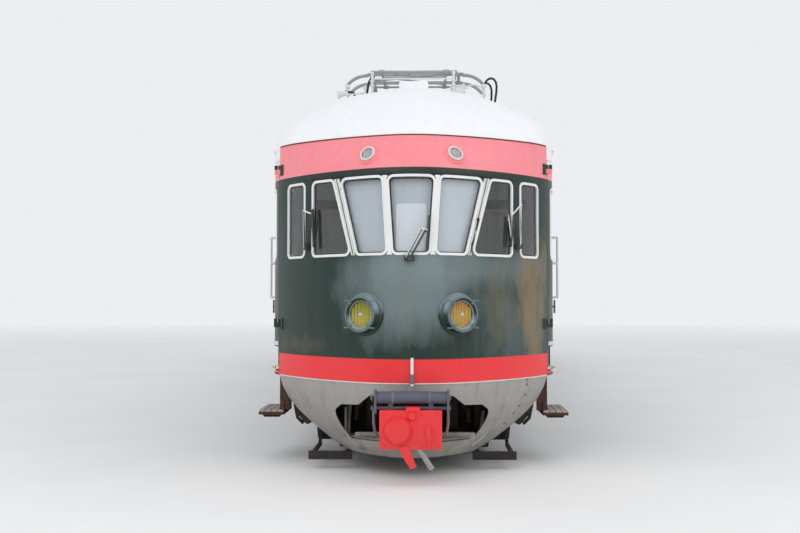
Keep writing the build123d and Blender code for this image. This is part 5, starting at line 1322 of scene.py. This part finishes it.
def make_axleboxes(bogie, middle_t):
    boxes, springs = shapes(2)
    for sign in SIDES:
        inner = both(sign, 0.967, 1.108)
        for axle in span(middle_t, HALF_BASE):
            block(boxes, inner, span(axle, 0.115), (0.547, 0.62))
            block(boxes, inner, span(axle, 0.115), (0.35, 0.403))
            for side in SIDES:
                block(boxes, inner, (axle + side * 0.072, axle + side * 0.115), (0.403, 0.547))
                block(boxes, both(sign, 0.985, 1.095), (axle + side * 0.115, axle + side * 0.33),
                      (0.346, 0.378))
                block(boxes, both(sign, 0.996, 1.084), (axle + side * 0.118, axle + side * 0.14),
                      (0.378, 0.735))
            block(boxes, both(sign, 1.106, 1.122), span(axle, 0.115), (0.35, 0.62))
            centre = at(sign * 1.122, axle, WHEEL_RADIUS)
            turned(boxes, AXLEBOX_COVER, centre - Vector((sign * 0.001, 0, 0)), (sign, 0, 0))
            for i in range(8):
                angle = pi * (i + 0.5) / 4
                bolt(boxes, centre + Vector((sign * 0.015, 0.094 * cos(angle), 0.094 * sin(angle))),
                     (sign, 0, 0), 0.008, 0.008)
            for t in span(axle, 0.235):
                foot = at(sign * FRAME_X, t, 0.379)
                post(springs, foot, 0, 0.016, 0.076, 24)
                post(springs, foot, 0.334, 0.3505, 0.076, 24)
                coil(springs, foot + rise(0.026), 0.298, 0.056, 0.0135, 5.5)
    finish(boxes, f"{bogie}_axleboxes", "black_gear", bogie, (f"{bogie}_gear",), bevel=0.004)
    finish(springs, f"{bogie}_springs", "black_gear", bogie, (f"{bogie}_gear",))


def brake_shoe(bm, sign, axle, side):
    """Cast shoe that faces a wheel's tread, with its holder and hanger."""
    part = bmesh.new()
    centre = at(0, axle, WHEEL_RADIUS)
    turn = Matrix.Rotation(-radians(24) * side, 3, "X")
    corners = oblong(both(sign, 0.716, 0.8), (0.487, 0.535))
    face = part.faces.new([part.verts.new(centre + turn @ Vector((x, side * r, 0))) for x, r in corners])
    bmesh.ops.spin(part, geom=[face] + list(face.verts) + list(face.edges), cent=centre, axis=(1, 0, 0),
                   angle=radians(48) * side, steps=8)
    join(bm, part)
    edge = axle + side * 0.555
    block(bm, both(sign, 0.735, 0.78), (axle + side * 0.528, axle + side * 0.575), (0.42, 0.54))
    for x in (0.725, 0.79):
        block(bm, span(sign * x, 0.006), span(edge, 0.02), (0.5, 0.77))
    rod(bm, at(sign * 0.7, edge, 0.755), at(sign * 1.0, edge, 0.755), 0.017)
    rod(bm, at(sign * 0.7, edge, 0.48), at(sign * 0.815, edge, 0.48), 0.013)


def make_brakes(bogie, middle_t):
    bm = bmesh.new()
    for side in SIDES:
        axle = middle_t + side * HALF_BASE
        for sign in SIDES:
            brake_shoe(bm, sign, axle, side)
        rod(bm, at(-0.7, axle + side * 0.555, 0.48), at(0.7, axle + side * 0.555, 0.48), 0.02, 14)
    finish(bm, f"{bogie}_brakes", "black_gear", bogie)


def make_bogie_fittings(bogie, middle_t):
    bm = bmesh.new()
    for sign in SIDES:
        block(bm, both(sign, 0.985, 1.095), span(middle_t, 1.985), (0.872, 0.884))
        for t in (-1.7, -1.0, -0.35, 0.35, 1.0, 1.7):
            block(bm, both(sign, 1.084, 1.094), span(middle_t + t, 0.012), (0.742, 0.873))
        for i in range(22):
            bolt(bm, at(sign * 1.085, middle_t - 1.89 + i * 0.18, 0.835), (sign, 0, 0), 0.009, 0.007)
        hoop(bm, oblong((0.0, 0.012), (0.088, 0.112)), at(sign * 1.084, middle_t, 0.59), (sign, 0, 0))
        for t in span(middle_t, 0.3):
            foot = at(sign * 1.125, t, 0.5)
            post(bm, foot, 0, 0.16, 0.034, 16)
            post(bm, foot, 0.14, 0.3, 0.022, 14)
            for h in (0.505, 0.8):
                rod(bm, at(sign * 1.07, t, h), at(sign * 1.15, t, h), 0.018, 12)
    finish(bm, f"{bogie}_fittings", "black_gear", bogie)


# Braced plates as (x, h) outlines, and where they stand
GUARD_OUTLINE = [(0.5, 0.17), (1.0, 0.17), (1.03, 0.5), (1.06, 0.72), (0.5, 0.72)]
BRACKET_OUTLINE = [(1.03, 0.38), (1.09, 0.35), (1.18, 0.45), (1.21, 0.6), (1.22, 0.86), (1.03, 0.86)]
GUARD_T = 1.475
BRACKET_T = 1.225


def braced_plates(bm, sign, outline, plate_t, corner, brace_xs, half, brace_t, brace_h, bolt_hs, aside):
    """Upright plate with braces before it and bolts aside of them."""
    laid(bm, [(sign * x, h) for x, h in outline], upright(plate_t), 0.012, corner, steps=(0.5, 0.5))
    for x in brace_xs:
        block(bm, span(sign * x, half), brace_t, brace_h)
        for h in bolt_hs:
            bolt(bm, at(sign * (x + aside), plate_t, h), (0, -1, 0), 0.011, 0.008)


def make_guard_frames():
    """Braced plates and pipes over the front bogie's rail guards and at the skirt's sides."""
    guards, brackets = shapes(2)
    for sign in SIDES:
        braced_plates(guards, sign, GUARD_OUTLINE, GUARD_T, 0.03, (0.64, 0.8, 0.95), 0.012, (1.44, 1.48),
                      (0.19, 0.72), (0.34, 0.52, 0.66), 0.05)
        for x, low in ((0.7, 0.3), (0.88, 0.26), (1.0, 0.34)):
            pipe = [(x, 1.47, 0.66), (x, 1.43, 0.6), (x - 0.01, 1.425, 0.45), (x - 0.03, 1.43, low)]
            tube(guards, line(pipe, sign), 0.016)
        braced_plates(brackets, sign, BRACKET_OUTLINE, BRACKET_T, 0.02, (1.07, 1.17), 0.01, (1.205, 1.227),
                      (0.46, 0.86), (0.52, 0.64, 0.76), 0.025)
        tube(brackets, line([(1.205, 1.24, 0.8), (1.215, 1.25, 0.55), (1.19, 1.26, 0.42), (1.13, 1.27, 0.36)],
                            sign), 0.018)
    finish(guards, "front_guard_frames", "black_gear", "front_bogie", bevel=0.002)
    finish(brackets, "skirt_side_brackets", "black_gear", bevel=0.002)


def make_motor_covers():
    bm = bmesh.new()
    for middle in span(BOGIE_TS["front_bogie"], 0.85):
        near, far = span(middle, 0.33)
        for x in (-0.3, -0.1, 0.1, 0.3):
            block(bm, span(x, 0.012), span(middle, 0.336), (0.392, 0.748))
        for h in (0.47, 0.57, 0.67):
            block(bm, (-0.26, 0.26), (near - 0.01, near), (h, h + 0.018))
            block(bm, (-0.26, 0.26), (far, far + 0.01), (h, h + 0.018))
        for sign in SIDES:
            for t in span(middle, 0.25):
                for h in (0.5, 0.66):
                    bolt(bm, at(sign * 0.42, t, h), (sign, 0, 0), 0.016, 0.012)
            turned(bm, [(0.0, 0.0), (0.0, 0.15), (0.03, 0.14), (0.04, 0.09), (0.055, 0.085), (0.058, 0.0)],
                   at(sign * 0.419, middle, 0.57), (sign, 0, 0), 28)
    finish(bm, "motor_covers", "black_gear", "front_bogie")


def make_wheel_rings():
    axles = [axle for middle_t in BOGIE_TS.values() for axle in span(middle_t, HALF_BASE)]
    for number, axle in enumerate(axles, 1):
        bm = bmesh.new()
        for sign in SIDES:
            for i in range(10):
                angle = 2 * pi * i / 10
                place = at(sign * 0.76, axle + 0.155 * cos(angle), WHEEL_RADIUS + 0.155 * sin(angle))
                bolt(bm, place, (sign, 0, 0), 0.011, 0.012)
            hoop(bm, [(-0.002, 0.404), (0.024, 0.404), (0.027, 0.416), (-0.002, 0.416)],
                 at(sign * 0.79, axle, WHEEL_RADIUS), (sign, 0, 0), 48)
        finish(bm, f"wheelset_{number}_rings", "wheel_iron", f"wheelset_{number}")


# Under the floor: cases as side, t from, t to and bottom, tanks as x, t from, t to and radius
CASES = [(-1, 6.7, 8.0, 0.47), (1, 6.7, 8.1, 0.45), (-1, 8.7, 9.7, 0.52), (1, 12.9, 14.2, 0.5),
         (-1, 13.0, 14.1, 0.54), (-1, 14.7, 15.9, 0.56)]
TANKS = [(0.72, 8.7, 10.05, 0.19), (0.0, 12.7, 14.1, 0.17), (0.76, 14.8, 16.1, 0.19)]
CASE_X = 1.1
LID_TOP_H = 0.93


def case_lids(lids, louvres, sign, t0, t1, bottom):
    """Lids on a case's outer side with hinges and a catch, and louvres in every second one."""
    count = 2 if t1 - t0 < 1.25 else 3
    step = (t1 - t0 - 0.08) / count
    lid_x = CASE_X + 0.014
    for i in range(count):
        low = t0 + 0.04 + i * step
        high = low + step
        block(lids, both(sign, CASE_X, lid_x), (low + 0.02, high - 0.02), (bottom + 0.09, LID_TOP_H))
        for h in (bottom + 0.16, 0.87):
            rod(lids, at(sign * lid_x, low + 0.05, h), at(sign * lid_x, low + 0.11, h), 0.01, 10)
        block(lids, both(sign, lid_x, CASE_X + 0.032), (high - 0.1, high - 0.07),
              ((bottom + 0.93) / 2, (bottom + 1.13) / 2))
        for k in range(7 if i % 2 == 0 else 0):
            h = bottom + 0.15 + k * (0.7 - bottom) / 7
            slanted = lambda u, v, w: at(sign * (CASE_X + 0.012 + (0.014 - v) * 0.6 + w), u, h + v)
            laid(louvres, ((low + 0.15, high - 0.14), (-0.012, 0.014)), slanted, 0.003, steps=(3, 3))


def make_underfloor_details():
    lids, louvres = shapes(2)
    for case in CASES:
        case_lids(lids, louvres, *case)
    for x, t0, t1, radius in TANKS:
        h = 0.96 - radius
        for t in (t0 + 0.16, (t0 + t1) / 2, t1 - 0.2):
            hoop(lids, oblong((0.0, 0.045), (radius - 0.001, radius + 0.006)), at(x, t, h), (0, 1, 0), 40)
        pipe = [(x, t0 + 0.02, h), (x, t0 - 0.1, h), (x, t0 - 0.14, h + 0.06), (x, t0 - 0.14, 1.06)]
        tube(lids, line(pipe), 0.016)
        tube(lids, line([(x, t1 - 0.3, h - radius + 0.01), (x, t1 - 0.3, h - radius - 0.035)]), 0.014)
    for x in (-0.25, 0.22):
        tube(lids, line([(x, 5.9, 0.99), (x, 10.5, 0.99), (x, 12.6, 1.03), (x, 17.0, 1.03)]), 0.019)
    finish(lids, "underfloor_lids", "black_gear", bevel=0.002)
    finish(louvres, "underfloor_louvres", "black_gear")


# Pantograph
PANTOGRAPH_T = 3.5
ARM_H = (4.075, 4.1622)
HEAD_TS = (3.25, 3.75)
HEAD_SPRING_H = (4.266, 4.38)


def make_pantograph_braces(name, way):
    foot_t, knee_t = PANTOGRAPH_T + way * 0.25, PANTOGRAPH_T + way * 1.497
    along = lambda share: (foot_t + (knee_t - foot_t) * share, ARM_H[0] + (ARM_H[1] - ARM_H[0]) * share)
    (t0, h0), (t1, h1) = along(0.72), along(0.96)
    bm = bmesh.new()
    tube(bm, line([(-0.45, t0, h0 + 0.002), (0.45, t1, h1 + 0.002)]), 0.015, 12)
    for x in (-0.46, 0.46):
        for share in (0.04, 0.7, 0.97):
            hoop(bm, oblong(span(0, 0.022), (0.017, 0.024)), at(x, *along(share)),
                 at(0, knee_t, ARM_H[1]) - at(0, foot_t, ARM_H[0]), 20)
    for x in (-0.2, 0.2):
        hoop(bm, oblong(span(0, 0.05), (0.024, 0.036)), at(x, foot_t, ARM_H[0]), (1, 0, 0), 20)
    finish(bm, f"pantograph_brace_{name}", "pale_iron", f"pantograph_lower_{name}")


def make_pantograph_parts():
    make_pantograph_braces("front", -1)
    make_pantograph_braces("rear", 1)
    springs, carbons, base = shapes(3)
    for t in HEAD_TS:
        for x in (-0.535, 0.535):
            low, high = HEAD_SPRING_H
            coil(springs, at(x, t, low), 0.115, 0.018, 0.0035, 7, 6, 12)
            rod(springs, at(x, t, low - 0.008), at(x, t, low), 0.024, 16)
            rod(springs, at(x, t, high), at(x, t, high + 0.008), 0.024, 16)
        block(carbons, (-0.585, 0.585), span(t, 0.017), (4.4145, 4.4215))
        for i in range(8):
            bolt(carbons, at(-0.56 + 0.16 * i, t - 0.021, 4.402), (0, -1, 0), 0.005, 0.004)
    for x in (-0.2, 0.2):
        for way in SIDES:
            rod(base, at(x, PANTOGRAPH_T + way * 0.1, 4.03), at(x, PANTOGRAPH_T + way * 0.14, 4.085), 0.014)
    rod(base, at(-0.56, PANTOGRAPH_T, 4.05), at(0.56, PANTOGRAPH_T, 4.05), 0.018)
    turned(base, [(0.0, 0.0), (0.0, 0.055), (0.3, 0.055), (0.3, 0.02), (0.36, 0.018), (0.36, 0.0)],
           at(0.0, PANTOGRAPH_T - 0.14, 4.05), (0, 1, 0), 24)
    for x in (-0.56, 0.56):
        for t in span(PANTOGRAPH_T, 0.62):
            for aside in (-0.045, 0.045):
                bolt(base, at(x + aside * 0.4, t + aside, 4.07), (0, 0, 1), 0.01, 0.009)
    finish(springs, "pantograph_head_springs", "pale_iron", "pantograph_head")
    finish(carbons, "pantograph_carbons", "carbon_brown", "pantograph_head", bevel=0.002)
    finish(base, "pantograph_base_parts", "pale_iron")


# Couplers
FACE_T = -0.23
REAR_FLANGE_T = 22.8
REAR_COUPLER_H = 0.479


def make_coupler_parts():
    bm = bmesh.new()
    for x in (-0.24, 0.1, 0.24):
        for h in (0.335, 0.62):
            bolt(bm, at(x, FACE_T, h), (0, -1, 0), 0.012, 0.008)
    for i in range(8):
        angle = pi * i / 4 + 0.3
        place = at(-0.11 + 0.104 * cos(angle), FACE_T - 0.052, 0.47 + 0.104 * sin(angle))
        bolt(bm, place, (0, -1, 0), 0.006, 0.005)
    for h in (0.415, 0.46, 0.505):
        block(bm, (0.128, 0.19), (FACE_T - 0.014, FACE_T), span(h, 0.006))
    block(bm, (0.06, 0.235), (FACE_T - 0.003, FACE_T + 0.001), (0.35, 0.56))
    finish(bm, "coupler_fasteners", "coupler_red", "front_coupler", bevel=0.0015)

    bm = bmesh.new()
    for sign in SIDES:
        tube(bm, line([(0.334, -0.1, 0.66), (0.334, -0.09, 0.52), (0.32, -0.05, 0.42), (0.3, 0.02, 0.38)],
                      sign), 0.013)
        bolt(bm, at(sign * 0.346, -0.15, 0.758), (sign, 0, 0), 0.024, 0.014)
        bolt(bm, at(sign * 0.346, -0.15, 0.665), (sign, 0, 0), 0.016, 0.012)
    for x in (-0.16, 0.17):
        hoop(bm, oblong(span(0, 0.01), (0.0552, 0.059)), at(x, -0.15, 0.758), (1, 0, 0), 28)
    finish(bm, "roller_box_fittings", "worn_grey", "front_coupler")

    bm = bmesh.new()
    tube(bm, line([(0.066, -0.2006, 0.321), (0.128, -0.2103, 0.2255), (0.19, -0.22, 0.13)]), 0.0255, 16)
    finish(bm, "coupler_hose_sleeve", "pale_iron", "front_coupler")

    bm = bmesh.new()
    for i in range(8):
        angle = 2 * pi * i / 8
        place = at(0.135 * cos(angle), REAR_FLANGE_T, REAR_COUPLER_H + 0.135 * sin(angle))
        bolt(bm, place, (0, 1, 0), 0.016, 0.012)
    for t in (REAR_FLANGE_T - 0.2, REAR_FLANGE_T - 0.5):
        hoop(bm, oblong((-0.05, 0.0), (0.071, 0.085)), at(0, t, REAR_COUPLER_H), (0, 1, 0), 28)
    finish(bm, "rear_coupler_bolts", "dark_steel", "rear_coupler")


# Studio
BACKDROP = rgb(236, 238, 241)


def add_object(name, data):
    made = bpy.data.objects.new(name, data)
    bpy.context.scene.collection.objects.link(made)
    return made


def add_camera():
    focal = LENS / SENSOR * PHOTO_WIDTH
    yaw = atan((TRACK_VANISHES_AT[0] - PHOTO_WIDTH / 2) / focal)
    pitch = atan((TRACK_VANISHES_AT[1] - PHOTO_HEIGHT / 2) / focal)
    camera = add_object("camera", bpy.data.cameras.new("camera"))
    camera.data.sensor_width = SENSOR
    camera.data.lens = LENS
    camera.location = (CAMERA_SIDE, aft(-CAMERA_DISTANCE), up(EYE_HEIGHT))
    camera.rotation_euler = (pi / 2 + pitch, 0, yaw)
    bpy.context.scene.camera = camera


def add_floor():
    """Pale floor that fades into the backdrop far off."""
    bm = bmesh.new()
    bmesh.ops.create_grid(bm, x_segments=1, y_segments=1, size=90.0)
    floor = add_object("floor", bpy.data.meshes.new("floor"))
    bm.to_mesh(floor.data)
    bm.free()
    tree = new_material("floor_pale")
    where = places(tree)
    tone = mix(tree, spread(tree, noise(tree, where, 0.4), 0.3, 0.7), rgb(240, 240, 239), rgb(246, 246, 245))
    shade(tree, {"Base Color": tone, "Roughness": 0.9})
    haze = put(tree, "Emission", {"Color": BACKDROP}).outputs["Emission"]
    away = vector_math(tree, "LENGTH", where)["Value"]
    blend = put(tree, "MixShader", {0: spread(tree, away, 20.0, 55.0),
                                    1: tree.nodes["Principled BSDF"].outputs["BSDF"], 2: haze})
    feed(tree, tree.nodes["Material Output"], {"Surface": blend.outputs["Shader"]})
    floor.data.materials.append(MATERIALS["floor_pale"])


def add_light(name, place, aim, size, power):
    lamp = add_object(name, bpy.data.lights.new(name, "AREA"))
    lamp.data.size = size
    lamp.data.energy = power
    lamp.location = place
    lamp.rotation_euler = (Vector(aim) - Vector(place)).to_track_quat("-Z", "Y").to_euler()


def light_studio():
    world = bpy.data.worlds.new("studio")
    bpy.context.scene.world = world
    world.use_nodes = True
    tree = world.node_tree
    path = put(tree, "LightPath").outputs
    seen = math(tree, "MAXIMUM", path["Is Camera Ray"], path["Is Transmission Ray"])
    strength = spread(tree, seen, 0.0, 1.0, 0.9, 1.0)
    feed(tree, tree.nodes["Background"], {"Color": BACKDROP, "Strength": strength})
    add_light("key", (-9.0, aft(-12.0), 16.0), (0.0, aft(3.0), 1.8), 14.0, 900.0)
    add_light("fill", (12.0, aft(-6.0), 10.0), (0.0, aft(4.0), 1.6), 12.0, 450.0)
    bpy.context.scene.view_settings.view_transform = "Standard"


finish_cad_nodes()
make_window_trim()
make_body_beads()
make_lamp_trim()
make_wiper_parts()
make_hinge_plates()
make_skirt_parts()
make_cab_back()
make_nose_inside()
make_cab_door_trim()
make_step_parts()
make_roof_front()
make_roof_seams()
make_side_trim()
make_door_leaf_trim()
make_bellows()
make_end_trim()
make_benches()
make_cab_furniture()
for bogie, middle_t in BOGIE_TS.items():
    make_axleboxes(bogie, middle_t)
    make_brakes(bogie, middle_t)
    make_bogie_fittings(bogie, middle_t)
make_guard_frames()
make_motor_covers()
make_wheel_rings()
make_underfloor_details()
make_pantograph_parts()
make_coupler_parts()
add_camera()
add_floor()
light_studio()
